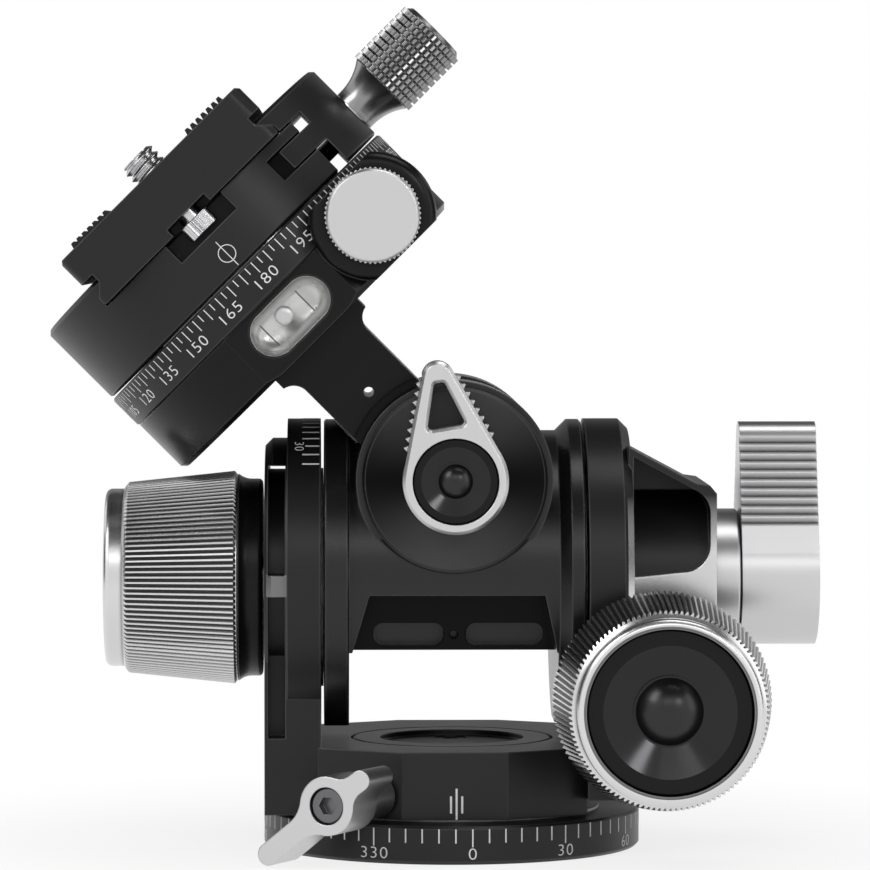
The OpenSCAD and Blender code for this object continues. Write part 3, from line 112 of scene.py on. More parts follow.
@dataclass(frozen=True)
class FinishSpec:
    """What one finish looks like.

    Args:
        colour: Base colour, linear.
        metallic: 0 for paint or plastic, 1 for bare metal.
        roughness: Mean roughness.
        grain: Size of the surface grain in metres.
        grain_depth: Height of that grain in metres.
        mottle: Spread of the roughness over larger patches.
        edge: Radius that edges seem rounded by, in metres.
        painted_edge_highlight: How much paler an edge is painted than the face, a painted highlight.
        specular: Strength of the clear reflection on a non-metal.
        transmission: Share of light let through.
        hollow: How far off a facing wall makes a surface count as a hollow for the painted shade, in metres.
        painted_hollow_shade: How dark the painted shade in a hollow is beside the ridges.
    """

    colour: Triple
    metallic: float = 1.0
    roughness: float = 0.3
    grain: float = 0.12 * MM
    grain_depth: float = 0.004 * MM
    mottle: float = 0.06
    edge: float = 0.25 * MM
    painted_edge_highlight: float = 0.0
    specular: float = 0.5
    transmission: float = 0.0
    hollow: float = 0.0
    painted_hollow_shade: float = 1.0


# Paler edges in these finishes are a painted highlight, and darker hollows are painted shade.
SPECS: dict[Finish, FinishSpec] = {
    Finish.BLACK: FinishSpec(
        (0.009, 0.009, 0.0092), 0.0, 0.36, 0.10 * MM, 0.004 * MM,
        edge=0.35 * MM, painted_edge_highlight=0.09, specular=0.33,
    ),
    Finish.BLACK_DEEP: FinishSpec(
        (0.004, 0.004, 0.0041), 0.0, 0.27, 0.10 * MM, 0.003 * MM,
        edge=0.35 * MM, painted_edge_highlight=0.07, specular=0.2,
    ),
    Finish.BLACK_SATIN: FinishSpec(
        (0.006, 0.006, 0.0061), 0.0, 0.27, 0.10 * MM, 0.003 * MM,
        edge=0.35 * MM, painted_edge_highlight=0.07, specular=0.42,
    ),
    Finish.BLACK_SMOOTH: FinishSpec(
        (0.001, 0.001, 0.001), 0.0, 0.34, 0.2 * MM, 0.001 * MM, 0.04,
        edge=0.3 * MM, painted_edge_highlight=0.14, specular=0.08,
    ),
    Finish.BLACK_PAINTED_SHEEN: FinishSpec((0.065, 0.065, 0.066), 0.0, 0.34),
    Finish.BLACK_MATT: FinishSpec(
        (0.004, 0.004, 0.0041), 0.0, 0.34, 0.2 * MM, 0.002 * MM, 0.04,
        edge=0.15 * MM, painted_edge_highlight=0.03, specular=0.2,
    ),
    Finish.BLACK_CHROME: FinishSpec((0.032, 0.032, 0.033), 1.0, 0.14, 0.2 * MM, 0.001 * MM, 0.04, 0.0),
    Finish.BLACK_BUTTON: FinishSpec((0.003, 0.003, 0.003), 0.0, 0.3, 0.2 * MM, 0.001 * MM, 0.04, 0.0),
    Finish.BLACK_PAINTED_SHADE: FinishSpec((0.010, 0.010, 0.010), 1.0, 0.32),
    Finish.PAINTED_SHADE_HIGHLIGHT_GREY: FinishSpec((0.20, 0.20, 0.203), 1.0, 0.32),
    Finish.RIM: FinishSpec((0.68, 0.68, 0.685), 1.0, 0.24),
    Finish.SILVER: FinishSpec(
        (0.64, 0.64, 0.648), 1.0, 0.35, 0.08 * MM, 0.003 * MM, 0.05, 0.3 * MM, 0.05,
        hollow=0.9 * MM, painted_hollow_shade=0.2,
    ),
    Finish.LEVER: FinishSpec(
        (0.64, 0.64, 0.648), 1.0, 0.33, 0.08 * MM, 0.003 * MM, 0.05, 0.2 * MM, 0.05,
        hollow=2.2 * MM, painted_hollow_shade=0.08,
    ),
    Finish.KNOB: FinishSpec(
        (0.70, 0.70, 0.705), 1.0, 0.26, 0.10 * MM, 0.002 * MM, 0.05, 0.05 * MM, 0.3,
        hollow=0.6 * MM, painted_hollow_shade=0.28,
    ),
    Finish.KNURL: FinishSpec(
        (0.30, 0.30, 0.304), 1.0, 0.26, 0.10 * MM, 0.002 * MM, 0.05, 0.06 * MM, 0.5,
        hollow=0.5 * MM, painted_hollow_shade=0.1,
    ),
    Finish.STEEL: FinishSpec((0.66, 0.66, 0.67), 1.0, 0.22, 0.15 * MM, 0.002 * MM, 0.05, 0.15 * MM, 0.1),
    Finish.DARK_STEEL: FinishSpec(
        (0.16, 0.16, 0.165), 1.0, 0.34, 0.15 * MM, 0.002 * MM, 0.05, 0.15 * MM, 0.1,
    ),
    Finish.BRONZE: FinishSpec((0.56, 0.38, 0.17), 1.0, 0.32, 0.15 * MM, 0.003 * MM, 0.06, 0.12 * MM, 0.1),
    Finish.NYLON: FinishSpec((0.80, 0.79, 0.76), 0.0, 0.45, 0.2 * MM, 0.002 * MM, 0.04, 0.1 * MM),
    Finish.RUBBER: FinishSpec(
        (0.026, 0.026, 0.027), 0.0, 0.62, 0.15 * MM, 0.006 * MM, 0.06, 0.15 * MM, 0.03, specular=0.3,
    ),
    Finish.INK: FinishSpec((0.80, 0.80, 0.80), 0.0, 0.5, 0.1 * MM, 0.0, 0.02, 0.0),
    Finish.GLASS: FinishSpec(
        (1.0, 1.0, 1.0), 0.0, 0.02, 1.0 * MM, 0.0, 0.0, 0.2 * MM, specular=0.2, transmission=1.0,
    ),
    Finish.LINE: FinishSpec((0.02, 0.02, 0.02), 0.0, 0.5, 1.0 * MM, 0.0, 0.0, 0.0),
    Finish.TROUGH: FinishSpec((0.62, 0.62, 0.61), 1.0, 0.27, 0.2 * MM, 0.002 * MM, 0.05, 0.0),
}

WEARERS: dict[Finish, tuple[str, ...]] = {
    Finish.BLACK: (
        "base_disc", "worm_rear_cover", "scale_ring", "clamp_body", "clamp_jaw", "plate", "pan_retainer",
    ),
    Finish.BLACK_DEEP: ("roll_arm", "pan_base", "tilt_knob_hub", "roll_knob_hub"),
    Finish.SILVER: ("wing_lever", "roll_lever", "lever_collar", "pan_lock_knob"),
    Finish.LEVER: ("tilt_lever",),
    Finish.KNOB: ("tilt_knob", "roll_knob"),
    Finish.KNURL: ("clamp_knob",),
    Finish.STEEL: (
        "tripod_insert", "left_trunnion", "right_trunnion", "roll_shaft", "tilt_worm", "roll_worm",
        "clamp_screw", "guide_pins", "pan_lock_screw", "clamp_spindle", "stop_screw", "camera_screw",
    ),
    Finish.DARK_STEEL: (
        "retainer_screws", "bracket_screws", "cap_screws", "arm_screws", "spindle_screws", "wing_screw",
    ),
    Finish.BRONZE: (
        "left_bush", "right_bush", "tilt_worm_bushes", "roll_bushes", "roll_worm_bush", "tilt_wheel",
        "roll_wheel", "pan_lock_shoe", "top_lock_shoe",
    ),
    Finish.NYLON: ("pan_washer", "thrust_washers"),
    Finish.RUBBER: ("grip_strips",),
    Finish.GLASS: ("level_vial",),
    Finish.BLACK_MATT: ("tilt_knob_cap", "roll_knob_cap", "tilt_lever_cap", "roll_lever_cap"),
}


def arc(centre: Pair, radius: float, start: float, end: float, steps: int) -> list[Pair]:
    """Lists points of an arc.

    Args:
        centre: Its middle.
        radius: Its radius.
        start: First angle, in radians.
        end: Last angle.
        steps: Steps between them.

    Returns:
        The points.
    """
    angles = [start + (end - start) * i / steps for i in range(steps + 1)]
    return [(centre[0] + radius * math.cos(a), centre[1] + radius * math.sin(a)) for a in angles]


def circle(radius: float, steps: int) -> list[Pair]:
    """Lists a circle's points about nought, as in arc."""
    return arc((0.0, 0.0), radius, 0.0, TURN, steps)[:-1]


def skin(work: bmesh.types.BMesh, loops: Sequence[Sequence[bmesh.types.BMVert]]) -> None:
    """Joins each loop of points to the next by faces, triangles where a loop is one point many times.

    Args:
        work: The open mesh.
        loops: The loops, all of one length.
    """
    for lower, upper in zip(loops, loops[1:]):
        for i in range(len(lower)):
            j = (i + 1) % len(lower)
            work.faces.new(list(dict.fromkeys((lower[i], lower[j], upper[j], upper[i]))))


def add_bar(work: bmesh.types.BMesh, middle: Triple, size: Triple) -> None:
    """Adds a box to an open mesh, by its middle and its sizes."""
    bmesh.ops.create_cube(work, size=1.0, matrix=Matrix.Translation(middle) @ Matrix.Diagonal((*size, 1.0)))


def thicken(work: bmesh.types.BMesh, depth: float) -> None:
    """Gives thin faces a back.

    Args:
        work: The open mesh.
        depth: How far behind along Y the back is.
    """
    made = bmesh.ops.extrude_face_region(work, geom=work.faces[:])
    moved = [item for item in made["geom"] if isinstance(item, bmesh.types.BMVert)]
    bmesh.ops.translate(work, verts=moved, vec=(0.0, depth, 0.0))


def finished(work: bmesh.types.BMesh, name: str, outwards: bool = True) -> bpy.types.Mesh:
    """Ends the work on an open mesh.

    Args:
        work: The open mesh, which is freed.
        name: The mesh's name.
        outwards: Whether its faces are turned outwards first.

    Returns:
        The mesh.
    """
    if outwards:
        bmesh.ops.recalc_face_normals(work, faces=work.faces)
    mesh = bpy.data.meshes.new(name)
    work.to_mesh(mesh)
    work.free()
    return mesh


class NodeSheet:
    """Adds, sets and joins the nodes of one node tree."""

    COLUMNS = 8
    SPACING = (220.0, -260.0)
    # First input, second input and output of a Mix node by kind.
    MIX_SOCKETS = {"RGBA": (6, 7, 2), "FLOAT": (2, 3, 0)}

    def __init__(self, tree: bpy.types.NodeTree) -> None:
        """Starts on an emptied tree.

        Args:
            tree: The tree to fill.
        """
        self.tree = tree
        tree.nodes.clear()

    def add(self, kind: str, name: str, **sockets: object) -> bpy.types.Node:
        """Adds a node.

        Args:
            kind: The node's type.
            name: Its name, written on it too.
            sockets: Inputs by name with underscores for blanks: a value, or an output socket to join.

        Returns:
            The new node.
        """
        node = self.tree.nodes.new(kind)
        node.name = node.label = name
        row, column = divmod(len(self.tree.nodes), self.COLUMNS)
        node.location = (self.SPACING[0] * column, self.SPACING[1] * row)
        self.fill(node, sockets)
        return node

    def fill(self, node: bpy.types.Node, sockets: dict[str, object]) -> None:
        """Feeds a node's inputs, named as in add."""
        for name, value in sockets.items():
            self.feed(node.inputs[name.replace("_", " ")], value)

    def feed(self, socket: bpy.types.NodeSocket, value: object) -> None:
        """Sets an input, or joins an output to it.

        Args:
            socket: The input.
            value: A number, a vector or an output socket.
        """
        if isinstance(value, bpy.types.NodeSocket):
            self.tree.links.new(value, socket)
        else:
            socket.default_value = value

    def math(self, operation: str, name: str, *values: object) -> bpy.types.NodeSocket:
        """Adds a sum of numbers, as in _sum, and gives its output."""
        return self._sum("ShaderNodeMath", operation, name, values).outputs[0]

    def vector(self, operation: str, name: str, *values: object) -> bpy.types.Node:
        """Adds a sum of vectors, as in _sum."""
        return self._sum("ShaderNodeVectorMath", operation, name, values)

    def _sum(self, kind: str, operation: str, name: str, values: Sequence[object]) -> bpy.types.Node:
        """Adds a sum.

        Args:
            kind: The node's type.
            operation: What it works out.
            name: Its name.
            values: Its inputs in order.

        Returns:
            The node.
        """
        node = self.add(kind, name)
        node.operation = operation
        for socket, value in zip(node.inputs, values):
            self.feed(socket, value)
        return node

    def ramp(self, name: str, value: bpy.types.NodeSocket, span: Sequence[float]) -> bpy.types.Node:
        """Adds a node that maps one span of values to another.

        Args:
            name: The node's name.
            value: The value.
            span: Where it starts and ends, and what it becomes there.

        Returns:
            The node.
        """
        low, high, first, last = span
        return self.add(
            "ShaderNodeMapRange", name, Value=value, From_Min=low, From_Max=high, To_Min=first, To_Max=last
        )

    def mix(
        self, name: str, share: object, first: object, second: object, kind: str = "RGBA", blend: str = "MIX"
    ) -> bpy.types.NodeSocket:
        """Adds a mix of two colours or values.

        Args:
            name: The node's name.
            share: Share of the second one.
            first: The first one.
            second: The second one.
            kind: RGBA for colours, FLOAT for values.
            blend: How colours are mixed.

        Returns:
            The mix.
        """
        node = self.add("ShaderNodeMix", name, Factor=share)
        node.data_type = kind
        node.blend_type = blend
        start, end, result = self.MIX_SOCKETS[kind]
        self.feed(node.inputs[start], first)
        self.feed(node.inputs[end], second)
        return node.outputs[result]

    def group(self, tree: bpy.types.NodeTree, name: str, **sockets: object) -> bpy.types.Node:
        """Adds a node group.

        Args:
            tree: The group's tree.
            name: The node's name.
            sockets: Inputs by name, as for add.

        Returns:
            The group's node.
        """
        node = self.add("ShaderNodeGroup", name)
        node.node_tree = tree
        self.fill(node, sockets)
        return node


class SurfaceGroups:
    """Shader groups that all finishes share."""

    PATCHES = 140.0  # patches per metre
    EDGE_GAIN = 6.0  # how fast the mask grows as the normals part

    def __init__(self) -> None:
        """Builds the groups once."""
        self.grain = self._grain()
        self.edges = self._edges()

    @staticmethod
    def _start(name: str, inputs: dict[str, str], outputs: Sequence[str]) -> NodeSheet:
        """Starts a group.

        Args:
            name: Its name.
            inputs: Kinds of its inputs by name: Vector or Float.
            outputs: Names of its outputs, which are values.

        Returns:
            Its nodes.
        """
        tree = bpy.data.node_groups.new(name, "ShaderNodeTree")
        sheet = NodeSheet(tree)
        for socket, kind in inputs.items():
            tree.interface.new_socket(name=socket, in_out="INPUT", socket_type=f"NodeSocket{kind}")
        for socket in outputs:
            tree.interface.new_socket(name=socket, in_out="OUTPUT", socket_type="NodeSocketFloat")
        return sheet

    def _grain(self) -> bpy.types.NodeTree:
        """A fine blasted grain and slow patches of roughness.

        Returns:
            A group from Position, Size, Roughness and Mottle to Height and Roughness.
        """
        inputs = {"Position": "Vector", "Size": "Float", "Roughness": "Float", "Mottle": "Float"}
        sheet = self._start("surface_grain", inputs, ("Height", "Roughness"))
        given = sheet.add("NodeGroupInput", "given").outputs
        scale = sheet.math("DIVIDE", "grains per metre", 1.0, given["Size"])
        place = given["Position"]
        fine = sheet.add("ShaderNodeTexNoise", "fine grain", Vector=place, Scale=scale, Detail=2.0)
        slow = sheet.add("ShaderNodeTexNoise", "slow patches", Vector=place, Scale=self.PATCHES, Detail=3.0)
        centred = sheet.math("SUBTRACT", "about nought", slow.outputs["Fac"], 0.5)
        spread = sheet.math("MULTIPLY", "spread", centred, given["Mottle"])
        rough = sheet.math("ADD", "roughness", spread, given["Roughness"])
        sheet.add("NodeGroupOutput", "made", Height=fine.outputs["Fac"], Roughness=rough)
        return sheet.tree

    def _edges(self) -> bpy.types.NodeTree:
        """Where a rounded normal parts from the face's own, which places the painted edge highlight.

        Returns:
            A group from Face and Rounded normals to a Mask.
        """
        sheet = self._start("edge_mask", {"Face": "Vector", "Rounded": "Vector"}, ("Mask",))
        given = sheet.add("NodeGroupInput", "given").outputs
        same = sheet.vector("DOT_PRODUCT", "agreement", given["Face"], given["Rounded"])
        part = sheet.math("SUBTRACT", "difference", 1.0, same.outputs["Value"])
        grown = sheet.math("MULTIPLY", "grown", part, self.EDGE_GAIN)
        sheet.add("NodeGroupOutput", "made", Mask=sheet.math("MINIMUM", "mask", grown, 1.0))
        return sheet.tree


class Tone:
    """A second finish on part of a piece; the tones here paint highlights, a reflection, sheen and shade."""

    other: Finish

    def mask(self, sheet: NodeSheet, place: bpy.types.NodeSocket) -> bpy.types.NodeSocket:
        """Says where the second finish is.

        Args:
            sheet: The material's nodes.
            place: The point on the piece.

        Returns:
            1 where the second finish is, 0 elsewhere.
        """
        raise NotImplementedError


@dataclass(frozen=True)
class BandTone(Tone):
    """A second finish painted in a round band about an axis; here it is painted shade on the knobs' rings.

    Args:
        other: The finish in the band.
        centre: A point of the axis.
        axis: Unit vector along it.
        inner: The band's inner radius.
        outer: Its outer radius.
    """

    other: Finish
    centre: Triple
    axis: Triple
    inner: float
    outer: float

    def mask(self, sheet: NodeSheet, place: bpy.types.NodeSocket) -> bpy.types.NodeSocket:
        """Measures the distance to the axis, as in Tone."""
        arm = sheet.vector("SUBTRACT", "from the axis", place, self.centre)
        square = sheet.vector("CROSS_PRODUCT", "across the axis", arm.outputs["Vector"], self.axis)
        away = sheet.vector("LENGTH", "distance", square.outputs["Vector"])
        middle, half = (self.inner + self.outer) / 2, (self.outer - self.inner) / 2
        return sheet.math("COMPARE", "in the band", away.outputs["Value"], middle, half)


@dataclass(frozen=True)
class PaintedSheenTone(Tone):
    """Painted sheen: pale fans painted on a disc turned about an axis along Y, above and below its middle.

    Args:
        other: The finish where the painted sheen is full.
        height: Height of the axis.
        narrow: How narrow the painted dark sectors at the sides are.
    """

    other: Finish
    height: float
    narrow: float = 3.0

    def mask(self, sheet: NodeSheet, place: bpy.types.NodeSocket) -> bpy.types.NodeSocket:
        """Takes the angle about the axis, as in Tone."""
        level = sheet.vector("MULTIPLY", "in the disc", place, (1.0, 0.0, 1.0))
        arm = sheet.vector("SUBTRACT", "from the middle", level.outputs["Vector"], (0.0, 0.0, self.height))
        unit = sheet.vector("NORMALIZE", "direction", arm.outputs["Vector"])
        parts = sheet.add("ShaderNodeSeparateXYZ", "along the axes", Vector=unit.outputs["Vector"])
        side = sheet.math("ABSOLUTE", "to the side", parts.outputs["X"])
        dark = sheet.math("POWER", "dark sectors", side, self.narrow)
        return sheet.math("SUBTRACT", "fans", 1.0, dark)


@dataclass(frozen=True)
class BoxTone(Tone):
    """A second finish painted inside a box; here a painted highlight on the frame and painted shade on the
    barrel.

    Args:
        other: The finish.
        middle: The box's middle.
        half: Half its sizes.
    """

    other: Finish
    middle: Triple
    half: Triple

    def mask(self, sheet: NodeSheet, place: bpy.types.NodeSocket) -> bpy.types.NodeSocket:
        """Tests the three axes, as in Tone."""
        parts = sheet.add("ShaderNodeSeparateXYZ", "place along the axes", Vector=place)
        inside = []
        for axis, middle, half in zip("XYZ", self.middle, self.half):
            inside.append(sheet.math("COMPARE", f"inside along {axis}", parts.outputs[axis], middle, half))
        level = sheet.math("MULTIPLY", "inside the level box", inside[0], inside[1])
        return sheet.math("MULTIPLY", "inside the box", level, inside[2])


@dataclass(frozen=True)
class RimTone(Tone):
    """Bare metal, partly painted reflection, on two flat faces and a chamfer, fading upwards into painted
    shade.

    Args:
        other: The finish.
        face_y: How far the faces are from the middle.
        chamfer: Where the chamfer starts and ends across X.
        fade: Heights where it starts and is full.
        foot: Height under which there is none.
        slack: How far off the faces it still is.
    """

    other: Finish
    face_y: float
    # fade: Heights where the metal starts under the painted shade and where it is full.
    chamfer: Pair
    fade: Pair
    foot: float
    slack: float = 0.05 * MM

    def mask(self, sheet: NodeSheet, place: bpy.types.NodeSocket) -> bpy.types.NodeSocket:
        """Tests the faces, the chamfer and the height, as in Tone."""
        parts = sheet.add("ShaderNodeSeparateXYZ", "place along the axes", Vector=place)
        side = sheet.math("ABSOLUTE", "front or back", parts.outputs["Y"])
        face = sheet.math("COMPARE", "on the faces", side, self.face_y, self.slack)
        middle, half = sum(self.chamfer) / 2, (self.chamfer[1] - self.chamfer[0]) / 2
        bevel = sheet.math("COMPARE", "on the chamfer", parts.outputs["X"], middle, half)
        either = sheet.math("MAXIMUM", "either", face, bevel)
        rise = sheet.ramp("fading upwards", parts.outputs["Z"], (*self.fade, 0.0, 1.0))
        over = sheet.math("GREATER_THAN", "over the foot", parts.outputs["Z"], self.foot)
        faded = sheet.math("MULTIPLY", "faded", either, rise.outputs[0])
        return sheet.math("MULTIPLY", "rim", faded, over)


class FinishShop:
    """Makes the materials, each once."""

    # the painted shade in hollows runs between these two openness values
    HOLLOW_SPAN = (0.66, 0.98)  # openness of a full hollow and of a ridge
    HOLLOW_SAMPLES = 8
    EDGE_SAMPLES = 6

    def __init__(self) -> None:
        """Builds the shared groups."""
        self.groups = SurfaceGroups()
        self._made: dict[str, bpy.types.Material] = {}

    def get(self, finish: Finish, tone: Tone | None = None, name: str = "") -> bpy.types.Material:
        """Gives the material of a finish.

        Args:
            finish: The finish.
            tone: A second finish on part of the piece.
            name: The material's name where it isn't the finish's own.

        Returns:
            The material.
        """
        key = name or finish.value
        if key not in self._made:
            self._made[key] = self._make(key, SPECS[finish], tone)
        return self._made[key]

    def _make(self, name: str, spec: FinishSpec, tone: Tone | None) -> bpy.types.Material:
        """Builds a material.

        Args:
            name: Its name.
            spec: Its looks.
            tone: A second finish on part of the piece.

        Returns:
            The material.
        """
        material = bpy.data.materials.new(name)
        material.use_nodes = True
        sheet = NodeSheet(material.node_tree)
        place = sheet.add("ShaderNodeTexCoord", "place").outputs["Object"]
        grain = sheet.group(
            self.groups.grain, "grain", Position=place, Size=spec.grain, Roughness=spec.roughness,
            Mottle=spec.mottle,
        ).outputs
        colour: object = (*spec.colour, 1.0)
        metallic: object = spec.metallic
        rough: object = grain["Roughness"]
        surface: dict[str, object] = {}
        if spec.edge > 0.0:
            bevel = sheet.add("ShaderNodeBevel", "rounded edges", Radius=spec.edge)
            bevel.samples = self.EDGE_SAMPLES
            surface["Normal"] = bevel.outputs["Normal"]
            # Painted highlight: edges painted paler than the face.
            if spec.painted_edge_highlight > 0.0:
                colour = self._paint_edge_highlight(sheet, spec, bevel.outputs["Normal"])
        # Painted shade: hollows painted darker than the ridges.
        if spec.hollow > 0.0:
            colour = self._paint_hollow_shade(sheet, spec, colour)
        if spec.grain_depth > 0.0:
            bump = sheet.add(
                "ShaderNodeBump", "grain bump", Strength=1.0, Distance=spec.grain_depth,
                Height=grain["Height"], **surface,
            )
            surface["Normal"] = bump.outputs["Normal"]
        # Painted light and shade: the tone's colour mixed over the finish where its mask is.
        if tone is not None:
            other, share = SPECS[tone.other], tone.mask(sheet, place)
            colour = sheet.mix("two colours", share, colour, (*other.colour, 1.0))
            metallic = sheet.mix("two metals", share, metallic, other.metallic, "FLOAT")
            rough = sheet.mix("two sheens", share, rough, other.roughness, "FLOAT")
        shader = sheet.add(
            "ShaderNodeBsdfPrincipled", "finish", Base_Color=colour, Metallic=metallic, Roughness=rough,
            Specular_IOR_Level=spec.specular, Transmission_Weight=spec.transmission, **surface,
        )
        sheet.add("ShaderNodeOutputMaterial", "surface", Surface=shader.outputs["BSDF"])
        return material

    def _paint_edge_highlight(
        self, sheet: NodeSheet, spec: FinishSpec, rounded: bpy.types.NodeSocket
    ) -> bpy.types.NodeSocket:
        """Paints a highlight on the edges, making them paler than the face.

        Args:
            sheet: The material's nodes.
            spec: The finish.
            rounded: The normal with rounded edges.

        Returns:
            The colour with its painted edge highlight.
        """
        face = sheet.add("ShaderNodeNewGeometry", "face").outputs["Normal"]
        mask = sheet.group(self.groups.edges, "edges", Face=face, Rounded=rounded).outputs["Mask"]
        pale = tuple(min(1.0, part + spec.painted_edge_highlight) for part in spec.colour)
        return sheet.mix("paler edges", mask, (*spec.colour, 1.0), (*pale, 1.0))

    def _paint_hollow_shade(self, sheet: NodeSheet, spec: FinishSpec, colour: object) -> bpy.types.NodeSocket:
        """Paints shade into the hollows between ribs, darker where less of the surroundings is open.

        Args:
            sheet: The material's nodes.
            spec: The finish.
            colour: The colour so far.

        Returns:
            The shaded colour.
        """
        open_sky = sheet.add("ShaderNodeAmbientOcclusion", "open to the front", Distance=spec.hollow)
        open_sky.samples = self.HOLLOW_SAMPLES
        open_sky.only_local = True
        ridge = sheet.ramp("ridges", open_sky.outputs["AO"], (*self.HOLLOW_SPAN, spec.painted_hollow_shade, 1.0))
        return sheet.mix("shaded hollows", 1.0, colour, ridge.outputs[0], blend="MULTIPLY")


class PieceBench:
    """Joins meshes into finished pieces and hands them to the part."""

    def __init__(self, shop: FinishShop, nodes: dict[str, bpy.types.Object]) -> None:
        """Keeps the shop and the solids.

        Args:
            shop: Where materials come from.
            nodes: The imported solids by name.
        """
        self.shop = shop
        self.nodes = nodes

    @staticmethod
    def from_object(obj: bpy.types.Object) -> bpy.types.Mesh:
        """Turns an object with live modifiers or text into a plain mesh and removes it.

        Args:
            obj: The object, not yet in the scene.

        Returns:
            Its evaluated mesh.
        """
        bpy.context.scene.collection.objects.link(obj)
        bpy.context.view_layer.update()
        evaluated = obj.evaluated_get(bpy.context.evaluated_depsgraph_get())
        mesh = bpy.data.meshes.new_from_object(evaluated)
        data = obj.data
        bpy.data.objects.remove(obj)
        if isinstance(data, bpy.types.Mesh):
            bpy.data.meshes.remove(data)
        else:
            bpy.data.curves.remove(data)
        return mesh

    @staticmethod
    def join(meshes: Sequence[bpy.types.Mesh], name: str) -> bpy.types.Mesh:
        """Puts several meshes into one and removes them.

        Args:
            meshes: The meshes, in the same frame.
            name: Name of the new mesh.

        Returns:
            The joined mesh.
        """
        work = bmesh.new()
        for mesh in meshes:
            work.from_mesh(mesh)
            bpy.data.meshes.remove(mesh)
        return finished(work, name, outwards=False)

    def hand_in(
        self, mesh: bpy.types.Mesh, name: str, body: str, slot: str, finish: Finish, node: str = "",
        smooth: bool = False,
    ) -> bpy.types.Object:
        """Makes a piece of a mesh and fixes it to a body.

        Args:
            mesh: The mesh, in the part's frame.
            name: The piece's name.
            body: The body it moves with.
            slot: The record's material slot; not used.
            finish: Its finish.
            node: A CAD node that it stands for.
            smooth: Whether its faces are shaded as one round surface.

        Returns:
            The piece.
        """
        mesh.materials.clear()
        mesh.materials.append(self.shop.get(finish))
        for polygon in mesh.polygons:
            polygon.material_index = 0
            polygon.use_smooth = smooth
        piece = bpy.data.objects.new(name, mesh)
        bpy.context.scene.collection.objects.link(piece)
        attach(piece, body)
        if node:
            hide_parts(node)
        LOG.info("%s: %d faces on %s", name, len(mesh.polygons), body)
        return piece


@dataclass(frozen=True)
class HeadPlaces:
    """Where things are on the head.

    Args:
        tilt_z: Height of the tilt axis.
        roll_z: Height of the roll axis.
        lean: Lean of the arm to the left, in radians.
    """

    tilt_z: float = 43.0 * MM
    roll_z: float = 59.8 * MM
    lean: float = math.radians(45.0)

    @property
    def arm(self) -> Matrix:
        """From the arm's own frame, Z along the arm, to the part's."""
        return Matrix.Translation((0.0, 0.0, self.roll_z)) @ Matrix.Rotation(-self.lean, 4, "Y")

    @property
    def tilt_dial(self) -> Matrix:
        """From a dial's frame, its Z to the right along the tilt axis, to the part's."""
        turn = Matrix(((0.0, 0.0, 1.0), (0.0, 1.0, 0.0), (-1.0, 0.0, 0.0))).to_4x4()
        return Matrix.Translation((0.0, 0.0, self.tilt_z)) @ turn


class Maker:
    """Makes the pieces of one kind."""

    def __init__(self, bench: PieceBench, places: HeadPlaces) -> None:
        """Keeps what every maker needs.

        Args:
            bench: Where pieces are handed in.
            places: Where things are.
        """
        self.bench = bench
        self.places = places

    def build(self) -> None:
        """Makes the pieces."""
        raise NotImplementedError

    @staticmethod
    def length(node: str, outward: Triple) -> float:
        """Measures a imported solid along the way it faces.

        Args:
            node: The solid.
            outward: The way it faces.

        Returns:
            Its length.
        """
        low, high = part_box(node)
        return abs((high - low).dot(Vector(outward)))

    def behind(self, node: str, outward: Triple, depth: float) -> Matrix:
        """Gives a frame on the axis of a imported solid.

        Args:
            node: The solid.
            outward: The way it faces.
            depth: How far behind its front the frame is.

        Returns:
            From that frame, Z outwards, to the part's.
        """
        low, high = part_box(node)
        way = Vector(outward)
        place = (low + high) / 2 + way * (self.length(node, outward) / 2 - depth)
        return Matrix.Translation(place) @ way.to_track_quat("Z", "Y").to_matrix().to_4x4()


@dataclass(frozen=True)
class TickRow:
    """One row of tick marks round a dial, in the dial's own frame with its axis along Z.

    Args:
        radius: Radius of the surface.
        level: Height that the ticks hang from.
        start: Angle of the first tick from the front, in degrees, rising to the right.
        step: Angle between ticks, in degrees.
        count: Number of ticks.
        short: Length of a plain tick.
        long: Length of a numbered tick.
        every: How many ticks on the next numbered one comes.
        phase: Ticks from the first one back to a numbered one.
        width: Width of a tick.
    """

    radius: float
    level: float
    start: float
    step: float
    count: int
    short: float
    long: float
    every: int
    phase: int = 0
    width: float = 0.3 * MM


